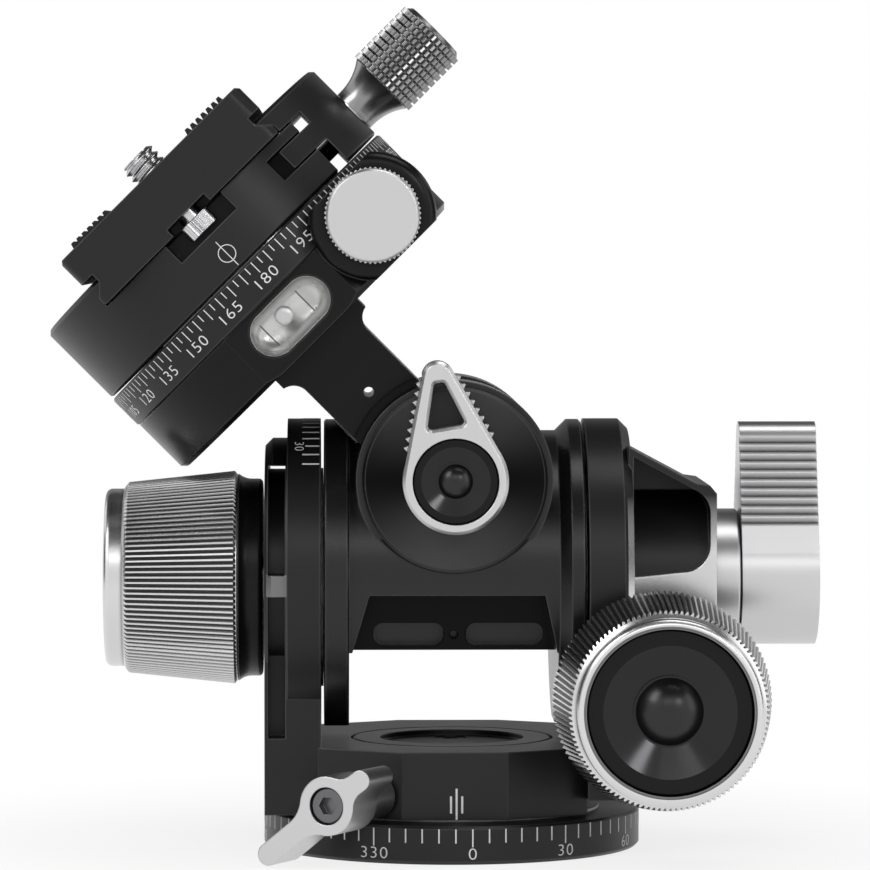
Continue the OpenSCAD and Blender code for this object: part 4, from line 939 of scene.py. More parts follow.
class TickTree:
    """A Geometry Nodes tree that lays tick marks round a dial."""

    DEPTH = 0.05 * MM  # thickness of a tick, half of it under the surface
    INPUTS = {
        "Count": "Int", "Radius": "Float", "Level": "Float", "Start": "Float", "Step": "Float",
        "Short": "Float", "Long": "Float", "Every": "Int", "Phase": "Int", "Width": "Float",
        "Depth": "Float", "Ink": "Material",
    }

    def __init__(self) -> None:
        """Builds the tree once."""
        tree = bpy.data.node_groups.new("tick_row", "GeometryNodeTree")
        sheet = NodeSheet(tree)
        for name, kind in self.INPUTS.items():
            tree.interface.new_socket(name=name, in_out="INPUT", socket_type=f"NodeSocket{kind}")
        tree.interface.new_socket(name="Marks", in_out="OUTPUT", socket_type="NodeSocketGeometry")
        given = sheet.add("NodeGroupInput", "given").outputs
        index = sheet.add("GeometryNodeInputIndex", "tick number").outputs[0]
        turned = sheet.math("MULTIPLY", "turned by", index, given["Step"])
        angle = sheet.math("ADD", "angle", turned, given["Start"])
        shifted = sheet.math("ADD", "from numbered", index, given["Phase"])
        rest = sheet.math("MODULO", "rest", shifted, given["Every"])
        numbered = sheet.math("LESS_THAN", "numbered", rest, 0.5)
        more = sheet.math("SUBTRACT", "extra length", given["Long"], given["Short"])
        extra = sheet.math("MULTIPLY", "extra here", more, numbered)
        length = sheet.math("ADD", "length", extra, given["Short"])
        half = sheet.math("MULTIPLY", "half length", length, 0.5)
        across = sheet.math("MULTIPLY", "to the right", sheet.math("SINE", "sine", angle), given["Radius"])
        ahead = sheet.math("MULTIPLY", "to the front", sheet.math("COSINE", "cosine", angle), given["Radius"])
        place = sheet.add(
            "ShaderNodeCombineXYZ", "place", X=across, Y=sheet.math("MULTIPLY", "forward", ahead, -1.0),
            Z=sheet.math("SUBTRACT", "height", given["Level"], half),
        )
        line = sheet.add("GeometryNodeMeshLine", "ticks", Count=given["Count"])
        points = sheet.add(
            "GeometryNodeSetPosition", "round the dial", Geometry=line.outputs[0], Position=place.outputs[0]
        )
        turn = sheet.add("ShaderNodeCombineXYZ", "turn", Z=angle)
        facing = sheet.add("FunctionNodeEulerToRotation", "facing", Euler=turn.outputs[0])
        size = sheet.add("ShaderNodeCombineXYZ", "size", X=given["Width"], Y=given["Depth"], Z=length)
        cube = sheet.add("GeometryNodeMeshCube", "one tick", Size=(1.0, 1.0, 1.0))
        copies = sheet.add(
            "GeometryNodeInstanceOnPoints", "copies", Points=points.outputs[0], Instance=cube.outputs[0],
            Rotation=facing.outputs[0], Scale=size.outputs[0],
        )
        solid = sheet.add("GeometryNodeRealizeInstances", "real ticks", Geometry=copies.outputs[0])
        inked = sheet.add(
            "GeometryNodeSetMaterial", "inked", Geometry=solid.outputs[0], Material=given["Ink"]
        )
        sheet.add("NodeGroupOutput", "made", Marks=inked.outputs[0])
        self.tree = tree
        sockets = [item for item in tree.interface.items_tree if item.in_out == "INPUT"]
        self.keys = {item.name: item.identifier for item in sockets}

    def lay(self, row: TickRow, ink: bpy.types.Material) -> bpy.types.Mesh:
        """Lays one row.

        Args:
            row: The row.
            ink: The marks' material.

        Returns:
            The ticks in the dial's own frame.
        """
        holder = bpy.data.objects.new("tick_row", bpy.data.meshes.new("tick_row"))
        modifier = holder.modifiers.new("ticks", "NODES")
        modifier.node_group = self.tree
        values = {
            "Count": row.count, "Radius": row.radius, "Level": row.level, "Start": math.radians(row.start),
            "Step": math.radians(row.step), "Short": row.short, "Long": row.long, "Every": row.every,
            "Phase": row.phase, "Width": row.width, "Depth": self.DEPTH, "Ink": ink,
        }
        for name, value in values.items():
            modifier[self.keys[name]] = value
        return PieceBench.from_object(holder)


@dataclass(frozen=True)
class Label:
    """A number on a dial.

    Args:
        text: What it says.
        angle: Its angle from the front, in degrees, rising to the right.
    """

    text: str
    angle: float


@dataclass(frozen=True)
class Dial:
    """Ticks and numbers on one round surface.

    Args:
        name: The piece's name.
        body: The body it moves with.
        frame: From the dial's own frame to the part's.
        row: Its ticks.
        labels: Its numbers.
        label_level: Height of the numbers' middle in the dial's own frame.
        label_size: Height of a digit.
    """

    name: str
    body: str
    frame: Matrix
    row: TickRow
    labels: tuple[Label, ...]
    label_level: float
    label_size: float


class Lettering:
    """Writes numbers and bends them round a dial."""

    LIFT = 0.02 * MM  # how far marks stand over the surface
    CAP_SHARE = 0.69  # height of a digit for a font size of 1
    SPACING = 1.12
    STRETCH = 1.15
    THIN = 0.025 * MM  # taken off the strokes all round
    CURVE_STEPS = 4

    def write(self, text: str, height: float) -> bpy.types.Mesh:
        """Writes thin text about the origin, in the XY plane.

        Args:
            text: What it says.
            height: Height of a digit.

        Returns:
            The mesh of the letters.
        """
        curve = bpy.data.curves.new("number", "FONT")
        curve.body = text
        curve.size = height / self.CAP_SHARE
        curve.align_x = "CENTER"
        curve.space_character = self.SPACING
        curve.resolution_u = self.CURVE_STEPS
        curve.offset = -self.THIN
        curve.extrude = self.LIFT
        mesh = PieceBench.from_object(bpy.data.objects.new("number", curve))
        wider = Matrix.Diagonal((self.STRETCH, 1.0, 1.0, 1.0))
        mesh.transform(wider @ Matrix.Translation((0.0, -height / 2, 0.0)))
        return mesh

    def bend(self, label: Label, dial: Dial) -> bpy.types.Mesh:
        """Writes a number on a dial.

        Args:
            label: The number.
            dial: The dial.

        Returns:
            The number in the dial's own frame.
        """
        mesh = self.write(label.text, dial.label_size)
        for vertex in mesh.vertices:
            angle = math.radians(label.angle) + vertex.co.x / dial.row.radius
            radius = dial.row.radius + vertex.co.z
            vertex.co = (radius * math.sin(angle), -radius * math.cos(angle), dial.label_level + vertex.co.y)
        return mesh


class DialMarks(Maker):
    """All white marks on the head."""

    # Angles of the dials' middle numbers from the front, in degrees.
    BASE_TURN = 5.0
    TILT_TURN = -88.0
    TOP_TURN = 3.0
    # The frame's front facet, X, foot and top of each line on it, and a line's width and thickness.
    FRAME_FACE = -25.0 * MM
    FRAME_LINES = (
        (0.23 * MM, 6.5 * MM, 11.4 * MM), (-0.65 * MM, 7.5 * MM, 10.2 * MM), (1.11 * MM, 7.5 * MM, 10.2 * MM),
    )
    FRAME_LINE = (0.32 * MM, 0.04 * MM)
    # The clamp, the ring on it, half that ring's stroke and half the line across it.
    CLAMP_RADIUS = 30.0 * MM
    RING_HEIGHT = 50.2 * MM
    RING = 1.36 * MM
    RING_HALF = 0.07 * MM
    RING_STEPS = 48
    RING_LINE = 2.5 * MM

    def dials(self) -> tuple[Dial, ...]:
        """Lists the dials.

        Returns:
            The base's, the tilt's and the panning top's dials.
        """
        base = Dial(
            "base_dial", "base", Matrix.Identity(4),
            TickRow(
                radius=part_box("base_disc")[1].x, level=5.6 * MM, start=self.BASE_TURN, step=5.0, count=72,
                short=2.2 * MM, long=2.8 * MM, every=6, width=0.22 * MM,
            ),
            tuple(Label(str(angle), self.BASE_TURN + angle) for angle in range(0, 360, 30)),
            label_level=1.75 * MM, label_size=1.8 * MM,
        )
        tilt = Dial(
            "tilt_dial", "frame", self.places.tilt_dial,
            TickRow(
                radius=25.6 * MM, level=-21.3 * MM, start=self.TILT_TURN - 40.0, step=5.0, count=17,
                short=2.7 * MM, long=2.2 * MM, every=6, phase=4,
            ),
            tuple(Label(str(abs(angle)), self.TILT_TURN + angle) for angle in (-30, 0, 30)),
            label_level=-24.45 * MM, label_size=1.5 * MM,
        )
        top = Dial(
            "top_dial", "roller", self.places.arm,
            TickRow(
                radius=30.2 * MM, level=46.6 * MM, start=self.TOP_TURN, step=2.5, count=144,
                short=1.3 * MM, long=2.1 * MM, every=2, width=0.16 * MM,
            ),
            tuple(Label(str((180 + angle) % 360), self.TOP_TURN + angle) for angle in range(0, 360, 15)),
            label_level=43.3 * MM, label_size=1.75 * MM,
        )
        return base, tilt, top

    def build(self) -> None:
        """Makes one piece for each dial and for each index."""
        ticks, letters = TickTree(), Lettering()
        ink = self.bench.shop.get(Finish.INK)
        for dial in self.dials():
            meshes = [ticks.lay(dial.row, ink)] + [letters.bend(label, dial) for label in dial.labels]
            mesh = self.bench.join(meshes, dial.name)
            mesh.transform(dial.frame)
            self.bench.hand_in(mesh, dial.name, dial.body, "black", Finish.INK)
        self.bench.hand_in(self._frame_index(), "pan_index", "frame", "black", Finish.INK)
        self.bench.hand_in(self._clamp_index(), "clamp_index", "clamp", "black", Finish.INK)

    def _frame_index(self) -> bpy.types.Mesh:
        """Draws three upright lines on the frame's front facet, over the base's dial.

        Returns:
            The lines.
        """
        work = bmesh.new()
        for x, low, high in self.FRAME_LINES:
            add_bar(work, (x, self.FRAME_FACE, (low + high) / 2), (*self.FRAME_LINE, high - low))
        return finished(work, "pan_index")

    def _clamp_index(self) -> bpy.types.Mesh:
        """Draws a thin circle crossed by a line on the clamp's front, over the top's dial.

        Returns:
            The circle and the line.
        """
        work = bmesh.new()
        radius = self.CLAMP_RADIUS + Lettering.LIFT

        def bent(points: Sequence[Pair]) -> list[bmesh.types.BMVert]:
            """Bends flat points round the clamp."""
            spots = [(x / radius, self.RING_HEIGHT + y) for x, y in points]
            return [work.verts.new((radius * math.sin(a), -radius * math.cos(a), z)) for a, z in spots]

        half, line = self.RING_HALF, self.RING_LINE
        skin(work, [bent(circle(self.RING + side, self.RING_STEPS)) for side in (-half, half)])
        work.faces.new(bent(((-half, -line), (half, -line), (half, line), (-half, line))))
        thicken(work, 2 * Lettering.LIFT)
        mesh = finished(work, "clamp_index")
        mesh.transform(self.places.arm)
        return mesh


@dataclass(frozen=True)
class CapSizes:
    """Sizes of one dished cap, in metres.

    Args:
        node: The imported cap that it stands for.
        body: The body it moves with.
        outward: The way it faces.
        rim: Radius of the cap.
        dish: Radius of its dish.
        ball: Radius of its domed button.
        depth: Depth of the dish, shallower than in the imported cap.
        rise: How far the button stands over the rim.
    """

    node: str
    body: str
    outward: Triple
    rim: float
    dish: float
    ball: float
    depth: float
    rise: float


class DishedCaps(Maker):
    """The knobs' and levers' black caps: a flat rim, a turned cone and a domed button with sharp joins."""

    COLUMNS = 96
    ARC_STEPS = 16
    # Bands of faces, counted from the back, where the cone and the button start.
    CONE_BAND = 4
    BUTTON_BAND = 6
    EDGE = 0.3 * MM
    GROOVE = 0.3 * MM
    POLE = 1e-9  # a smaller radius is one point
    CAPS = (
        CapSizes("tilt_knob_cap", "tilt_drive", FORWARD, 12.7 * MM, 10.2 * MM, 5.2 * MM, 1.8 * MM, 1.3 * MM),
        CapSizes("roll_knob_cap", "roll_drive", LEFT, 12.7 * MM, 10.2 * MM, 5.2 * MM, 1.8 * MM, 1.3 * MM),
        CapSizes("tilt_lever_cap", "tilt_release", RIGHT, 8.8 * MM, 7.1 * MM, 3.5 * MM, 1.3 * MM, 1.0 * MM),
        CapSizes(
            "roll_lever_cap", "roll_release", FORWARD, 6.7 * MM, 5.4 * MM, 2.7 * MM, 1.0 * MM, 0.7 * MM,
        ),
    )

    def build(self) -> None:
        """Makes each cap in the place of its packed one."""
        for cap in self.CAPS:
            mesh = self._turn(cap, self.length(cap.node, cap.outward) - cap.rise)
            mesh.transform(self.behind(cap.node, cap.outward, cap.rise))
            name = f"{cap.node}_turned"
            piece = self.bench.hand_in(mesh, name, cap.body, "black", Finish.BLACK_MATT, cap.node, True)
            for finish in (Finish.BLACK_CHROME, Finish.BLACK_BUTTON):
                piece.data.materials.append(self.bench.shop.get(finish))
            for polygon in piece.data.polygons:
                band = polygon.index // self.COLUMNS
                polygon.material_index = (band >= self.CONE_BAND) + (band >= self.BUTTON_BAND)

    def _profile(self, cap: CapSizes, seat: float) -> list[tuple[float, float, bool]]:
        """Lists the cap's outline from the middle of its back to the top of its button.

        Args:
            cap: The cap.
            seat: How deep it sits under its rim.

        Returns:
            Radius, height and whether the surface breaks there.
        """
        points = [
            (0.0, -seat, False), (cap.rim, -seat, True), (cap.rim, -self.EDGE, True),
            (cap.rim - self.EDGE, 0.0, True), (cap.dish, 0.0, True),
            (cap.ball + self.GROOVE, -cap.depth, True), (cap.ball, -cap.depth, True),
        ]
        height = cap.depth + cap.rise
        dome = (cap.ball**2 + height**2) / (2 * height)
        widest = math.asin(cap.ball / dome)
        crown = arc((0.0, cap.rise - dome), dome, QUARTER - widest, QUARTER, self.ARC_STEPS)
        return points + [(radius, level, False) for radius, level in crown[1:]]

    def _turn(self, cap: CapSizes, seat: float) -> bpy.types.Mesh:
        """Turns the outline about Z.

        Args:
            cap: The cap.
            seat: How deep it sits under its rim.

        Returns:
            The cap with its rim at nought, facing along Z.
        """
        work = bmesh.new()
        loops, sharp = [], []
        for radius, height, breaks in self._profile(cap, seat):
            if radius < self.POLE:
                loops.append([work.verts.new((0.0, 0.0, height))] * self.COLUMNS)
            else:
                loops.append([work.verts.new((x, y, height)) for x, y in circle(radius, self.COLUMNS)])
            if breaks:
                sharp.append(loops[-1])
        skin(work, loops)
        for loop in sharp:
            for i in range(self.COLUMNS):
                work.edges.get((loop[i - 1], loop[i])).smooth = False
        return finished(work, cap.node)


@dataclass(frozen=True)
class KnobSizes:
    """Sizes of a drive knob's sleeve, in metres.

    Its own frame has Z along the axis, outwards from the hub's back.

    Args:
        back: Where the sleeve starts.
        end: Where it ends.
        bore: Radius of its bore.
        seat: Radius of the seat for its cap.
        seat_floor: Where that seat ends.
        large: Radius over the ribs at the back.
        small: Radius over the ribs at the front.
        shoulder: Radius of the round edge at the back.
        band_end: Where the ribs end.
        ring: Radius of the smooth ring in front.
        ring_edge: Radius of that ring's round edge.
        ribs: Number of ribs.
        rib_depth: Depth of the grooves between them.
        groove: Inner and outer radius and depth of the groove in the ring's face.
    """

    back: float = 3.92 * MM
    end: float = 25.3 * MM
    bore: float = 11.0 * MM
    seat: float = 12.75 * MM
    seat_floor: float = 19.7 * MM
    large: float = 17.15 * MM
    small: float = 15.35 * MM
    shoulder: float = 0.25 * MM
    band_end: float = 22.0 * MM
    ring: float = 14.3 * MM
    ring_edge: float = 1.05 * MM
    ribs: int = 114
    rib_depth: float = 0.48 * MM
    groove: Triple = (12.93 * MM, 13.1 * MM, 0.25 * MM)


class RibbedKnobs(Maker):
    """The sleeves of the two drive knobs, with fine ribs, a round back edge and a smooth ring in front."""

    SIZES = KnobSizes()
    KNOBS = (("tilt_knob", "tilt_drive", FORWARD), ("roll_knob", "roll_drive", LEFT))
    # Points of one rib: share of its pitch and share of the groove's depth.
    RIB_STEPS = ((0.0, 0.0), (0.3, 0.0), (0.65, 1.0))
    ARC_STEPS = 8
    RUN_OUT = 0.4 * MM  # length over which the ribs end
    # the ring round the cap between these radii is painted a darker grey, painted shade
    SHADE_BAND_RADII = (12.7 * MM, 13.2 * MM)  # radii of the darker ring round the cap

    def build(self) -> None:
        """Makes each sleeve in the place of its packed one."""
        for node, body, outward in self.KNOBS:
            mesh = self._turn(f"ribbed_{node}")
            place = self.behind(node, outward, self.SIZES.end)
            mesh.transform(place)
            piece = self.bench.hand_in(mesh, f"ribbed_{node}", body, "silver", Finish.KNOB, node)
            # Painted shade: a darker grey ring painted round the cap.
            band = BandTone(Finish.PAINTED_SHADE_HIGHLIGHT_GREY, tuple(place.translation), outward, *self.SHADE_BAND_RADII)
            piece.data.materials[0] = self.bench.shop.get(Finish.KNOB, band, f"{node}_grey")

    def _rows(self) -> list[Triple]:
        """Lists the sleeve's outline from its bore over the back and the ribs to the cap's seat.

        Returns:
            Radius, height and share of the ribs' depth.
        """
        s = self.SIZES
        edge_z = s.back + s.shoulder
        back = (s.large - s.rib_depth - s.shoulder, edge_z)
        front = (s.ring - s.ring_edge, s.end - s.ring_edge)
        inner, outer, depth = s.groove
        ribs = [(s.large, edge_z + self.RUN_OUT), (s.small, s.band_end - self.RUN_OUT)]
        before = [(s.bore, s.back), *arc(back, s.shoulder, -QUARTER, 0.0, self.ARC_STEPS)]
        after = [
            (s.small - s.rib_depth, s.band_end), (s.ring, s.band_end + self.RUN_OUT),
            *arc(front, s.ring_edge, 0.0, QUARTER, self.ARC_STEPS),
            (outer, s.end), (outer, s.end - depth), (inner, s.end - depth), (inner, s.end),
            (s.seat, s.end), (s.seat, s.seat_floor), (s.bore, s.seat_floor),
        ]
        shares = ((before, 0.0), (ribs, 1.0), (after, 0.0))
        return [(radius, height, share) for part, share in shares for radius, height in part]

    def _turn(self, name: str) -> bpy.types.Mesh:
        """Turns the outline about Z and cuts the ribs.

        Args:
            name: The mesh's name.

        Returns:
            The sleeve.
        """
        s = self.SIZES
        work = bmesh.new()
        spots = [(TURN * (rib + run) / s.ribs, cut) for rib in range(s.ribs) for run, cut in self.RIB_STEPS]
        loops = []
        for radius, height, share in self._rows():
            loop = []
            for angle, cut in spots:
                r = radius - s.rib_depth * cut * share
                loop.append(work.verts.new((r * math.cos(angle), r * math.sin(angle), height)))
            loops.append(loop)
        skin(work, loops + loops[:1])
        return finished(work, name)


@dataclass(frozen=True)
class LeverSizes:
    """Sizes of the roll release's lever, in metres.

    Its own frame has the pivot at nought and Y along the lever.

    Args:
        hub: Radius of its round foot.
        tip: Radius of its tip.
        reach: From the pivot to the end of the tip.
        lean: Turn of the lever to the left, in radians.
        bore: Radius of the hole for its stud.
        seat: Radius of the seat for its cap.
        seat_depth: Depth of that seat.
        bevel: Width of the bevel round the front and the window.
        upright: Height of the front's edge under the bevel.
        tooth: Height of a tooth.
        pitch: Distance between teeth.
        teeth: Teeth on each side.
        first: From the foot's end of an edge to its first tooth.
        window: Middles of the window's corners.
        corner: Radius of these corners.
    """

    hub: float = 8.3 * MM
    tip: float = 2.5 * MM
    reach: float = 19.05 * MM
    lean: float = math.radians(9.7)
    bore: float = 3.6 * MM
    seat: float = 6.75 * MM
    seat_depth: float = 3.0 * MM
    bevel: float = 0.55 * MM
    upright: float = 0.1 * MM
    tooth: float = 0.95 * MM
    pitch: float = 1.45 * MM
    teeth: int = 8
    first: float = 2.9 * MM
    window: tuple[Pair, ...] = (
        (-2.2 * MM, 9.2 * MM), (2.2 * MM, 9.2 * MM), (0.35 * MM, 15.0 * MM), (-0.35 * MM, 15.0 * MM),
    )
    corner: float = 0.6 * MM


class FrontLever(Maker):
    """The roll release's lever: a toothed plate under a bevelled front with a three-cornered window."""

    SIZES = LeverSizes()
    ARC_STEPS = 48
    CORNER_STEPS = 10
    CREST_SHARE = 0.68  # share of a tooth outside the straight edge
    CLEAR = 0.02 * MM  # keeps the front's loops off the plate's

    def build(self) -> None:
        """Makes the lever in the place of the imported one."""
        s = self.SIZES
        low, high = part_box("roll_lever")
        thick = high.y - low.y
        edge = thick - s.bevel
        shoulder = edge - s.upright
        sunk = shoulder - self.CLEAR
        floor = thick - s.seat_depth
        teeth, outer = self._drop(0.0, True), self._drop(self.CLEAR, False)
        window, mouth = self._window(0.0), self._window(self.CLEAR)
        bore, seat, rest = (circle(r, self.ARC_STEPS) for r in (s.bore, s.seat, s.seat + self.CLEAR))
        plate = self._solid([
            [(0.0, teeth), (shoulder, teeth)],
            [(0.0, window), (shoulder, window)],
            [(0.0, bore), (floor, bore), (floor, seat), (shoulder, seat)],
        ])
        front = self._solid([
            [(sunk, outer), (edge, outer), (thick, self._drop(s.bevel, False))],
            [(sunk, mouth), (edge, mouth), (thick, self._window(s.bevel))],
            [(sunk, rest), (thick, rest)],
        ])
        mesh = self.bench.join([plate, front], "bevelled_roll_lever")
        facing = Matrix(((1.0, 0.0, 0.0), (0.0, 0.0, -1.0), (0.0, 1.0, 0.0))).to_4x4()
        place = Matrix.Translation((0.0, high.y, self.places.roll_z))
        mesh.transform(place @ facing @ Matrix.Rotation(s.lean, 4, "Z"))
        self.bench.hand_in(mesh, "bevelled_roll_lever", "roll_release", "silver", Finish.SILVER, "roll_lever")

    def _window(self, grown: float) -> list[Pair]:
        """Lists the window's outline.

        Args:
            grown: How much larger than the window it is.

        Returns:
            The points.
        """
        corners = self.SIZES.window
        points = []
        for i, corner in enumerate(corners):
            before, after = corners[i - 1], corners[(i + 1) % len(corners)]
            start = math.atan2(corner[1] - before[1], corner[0] - before[0]) - QUARTER
            end = math.atan2(after[1] - corner[1], after[0] - corner[0]) - QUARTER
            end = start + (end - start) % TURN
            points += arc(corner, self.SIZES.corner + grown, start, end, self.CORNER_STEPS)
        return points

    def _drop(self, inset: float, toothed: bool) -> list[Pair]:
        """Lists the lever's outline.

        Args:
            inset: How much smaller it is.
            toothed: Whether its straight edges have teeth.

        Returns:
            The points.
        """
        s = self.SIZES
        far = s.reach - s.tip
        lean = math.asin((s.hub - s.tip) / far)
        foot = arc((0.0, 0.0), s.hub - inset, math.pi - lean, TURN + lean, self.ARC_STEPS)
        tip = arc((0.0, far), s.tip - inset, lean, math.pi - lean, self.ARC_STEPS // 2)
        if not toothed:
            return foot + tip
        start, end = Vector(foot[-1]), Vector(tip[0])
        along = (end - start).normalized()
        out = Vector((along.y, -along.x))
        heights = ((self.CREST_SHARE - 1.0) * s.tooth, self.CREST_SHARE * s.tooth)
        edge = []
        for i in range(2 * s.teeth + 1):
            point = start + along * (s.first + i * s.pitch / 2) + out * heights[i % 2]
            edge.append((point.x, point.y))
        return foot + edge + tip + [(-x, y) for x, y in reversed(edge)]

    @staticmethod
    def _solid(walls: list[list[tuple[float, list[Pair]]]]) -> bpy.types.Mesh:
        """Closes walls that stand on outlines with a bottom and a top.

        Args:
            walls: For each outline, its height and points from the bottom to the top.

        Returns:
            The solid.
        """
        work = bmesh.new()
        ends: tuple[list[bmesh.types.BMEdge], list[bmesh.types.BMEdge]] = ([], [])
        for wall in walls:
            loops = [[work.verts.new((x, y, height)) for x, y in points] for height, points in wall]
            skin(work, loops)
            for edges, loop in zip(ends, (loops[0], loops[-1])):
                edges += [work.edges.get((loop[i - 1], loop[i])) for i in range(len(loop))]
        for edges in ends:
            bmesh.ops.triangle_fill(work, edges=edges, use_beauty=True, use_dissolve=False)
        return finished(work, "lever_solid")


@dataclass(frozen=True)
class LevelSizes:
    """Sizes of the spirit level, in metres in the arm's frame, with heights from the level's middle.

    Args:
        radius: Radius of the round ends.
        span: Half the distance between the ends' middles.
        height: Height of its middle above the roll axis.
        front: Y of its window.
        pane: Thickness of the window.
        trough: Y of the trough's rim.
        depth: Depth of the silver trough.
        wall: Thickness of the trough.
        line_x: Where the two lines are.
        line: Sizes of a line.
        line_y: Y of the lines.
        line_z: Height of their middle.
        bubble: Half the bubble's sizes.
        bubble_place: The bubble's middle.
    """

    radius: float = 3.74 * MM
    span: float = 3.6 * MM
    height: float = 36.4 * MM
    front: float = -27.8 * MM
    pane: float = 0.3 * MM
    trough: float = -27.7 * MM
    depth: float = 3.2 * MM
    wall: float = 0.15 * MM
    line_x: Pair = (-4.4 * MM, 3.3 * MM)
    line: Triple = (0.22 * MM, 0.05 * MM, 4.3 * MM)
    line_y: float = -27.4 * MM
    line_z: float = 0.1 * MM
    bubble: Triple = (1.5 * MM, 0.5 * MM, 1.5 * MM)
    bubble_place: Triple = (-0.6 * MM, -26.85 * MM, 0.8 * MM)


class SpiritLevel(Maker):
    """The level in the panning base: a silver trough, a clear window, two lines and a bubble."""

    SIZES = LevelSizes()
    TROUGH_STEPS = (48, 24)
    BUBBLE_STEPS = (32, 16)
    END_STEPS = 24
    NEAR = 1e-4  # points this near the middle plane of the unit ball are on it

    def build(self) -> None:
        """Makes the level's pieces."""
        place = self.places.arm @ Matrix.Translation((0.0, 0.0, self.SIZES.height))
        pieces = (
            (self._trough(), "silver", Finish.TROUGH, "", True),
            (self._lines(), "black", Finish.LINE, "", False),
            (self._bubble(), "silver", Finish.SILVER, "", True),
            (self._window(), "vial", Finish.GLASS, "level_vial", False),
        )
        for mesh, slot, finish, node, smooth in pieces:
            mesh.transform(place)
            self.bench.hand_in(mesh, mesh.name, "roller", slot, finish, node, smooth)

    def _trough(self) -> bpy.types.Mesh:
        """Makes half of a long round-ended hollow, open to the front.

        Returns:
            The trough.
        """
        s = self.SIZES
        around, along = self.TROUGH_STEPS
        work = bmesh.new()
        bmesh.ops.create_uvsphere(work, u_segments=around, v_segments=along, radius=1.0)
        bmesh.ops.rotate(work, verts=work.verts, matrix=Matrix.Rotation(QUARTER, 3, "Y"))
        gone = [v for v in work.verts if v.co.y < -self.NEAR]
        bmesh.ops.delete(work, geom=gone, context="VERTS")
        for v in work.verts:
            side = math.copysign(s.span, v.co.x) if abs(v.co.x) > self.NEAR else 0.0
            v.co = (v.co.x * s.radius + side, s.trough + v.co.y * s.depth, v.co.z * s.radius)
        bmesh.ops.reverse_faces(work, faces=work.faces)
        bmesh.ops.solidify(work, geom=work.faces[:], thickness=-s.wall)
        return finished(work, "level_trough")

    def _window(self) -> bpy.types.Mesh:
        """Makes a thin clear pane with round ends.

        Returns:
            The pane.
        """
        s = self.SIZES
        outline = []
        for end, first in ((s.span, -QUARTER), (-s.span, QUARTER)):
            outline += arc((end, 0.0), s.radius, first, first + math.pi, self.END_STEPS)
        work = bmesh.new()
        work.faces.new([work.verts.new((x, s.front, z)) for x, z in outline])
        thicken(work, s.pane)
        return finished(work, "level_window")

    def _lines(self) -> bpy.types.Mesh:
        """Makes two fine lines across the window.

        Returns:
            The lines.
        """
        work = bmesh.new()
        for x in self.SIZES.line_x:
            add_bar(work, (x, self.SIZES.line_y, self.SIZES.line_z), self.SIZES.line)
        return finished(work, "level_lines")

    def _bubble(self) -> bpy.types.Mesh:
        """Makes a flat round bubble under the window.

        Returns:
            The bubble.
        """
        around, along = self.BUBBLE_STEPS
        place = Matrix.Translation(self.SIZES.bubble_place) @ Matrix.Diagonal((*self.SIZES.bubble, 1.0))
        work = bmesh.new()
        bmesh.ops.create_uvsphere(work, u_segments=around, v_segments=along, radius=1.0, matrix=place)
        return finished(work, "level_bubble")


@dataclass(frozen=True)
class ThreadSizes:
    """Sizes of the camera screw's thread, 1/4"-20, in metres in the arm's frame.

    Args:
        crest: Radius over the thread.
        root: Radius at its root.
        pitch: Rise in one turn.
        low: Where it starts above the roll axis.
        high: Where it ends.
        overlap: How far the plain shank reaches into it.
        flank: Steepness of its flanks, as depth over a share of the pitch.
        flat: Depth that its root's flat takes off.
        taper: Steepness of the end's taper.
    """

    crest: float = 3.175 * MM
    root: float = 2.55 * MM
    pitch: float = 1.27 * MM
    low: float = 67.55 * MM
    high: float = 71.9 * MM
    overlap: float = 0.02 * MM
    flank: float = 2.6
    flat: float = 0.15
    taper: float = 1.2


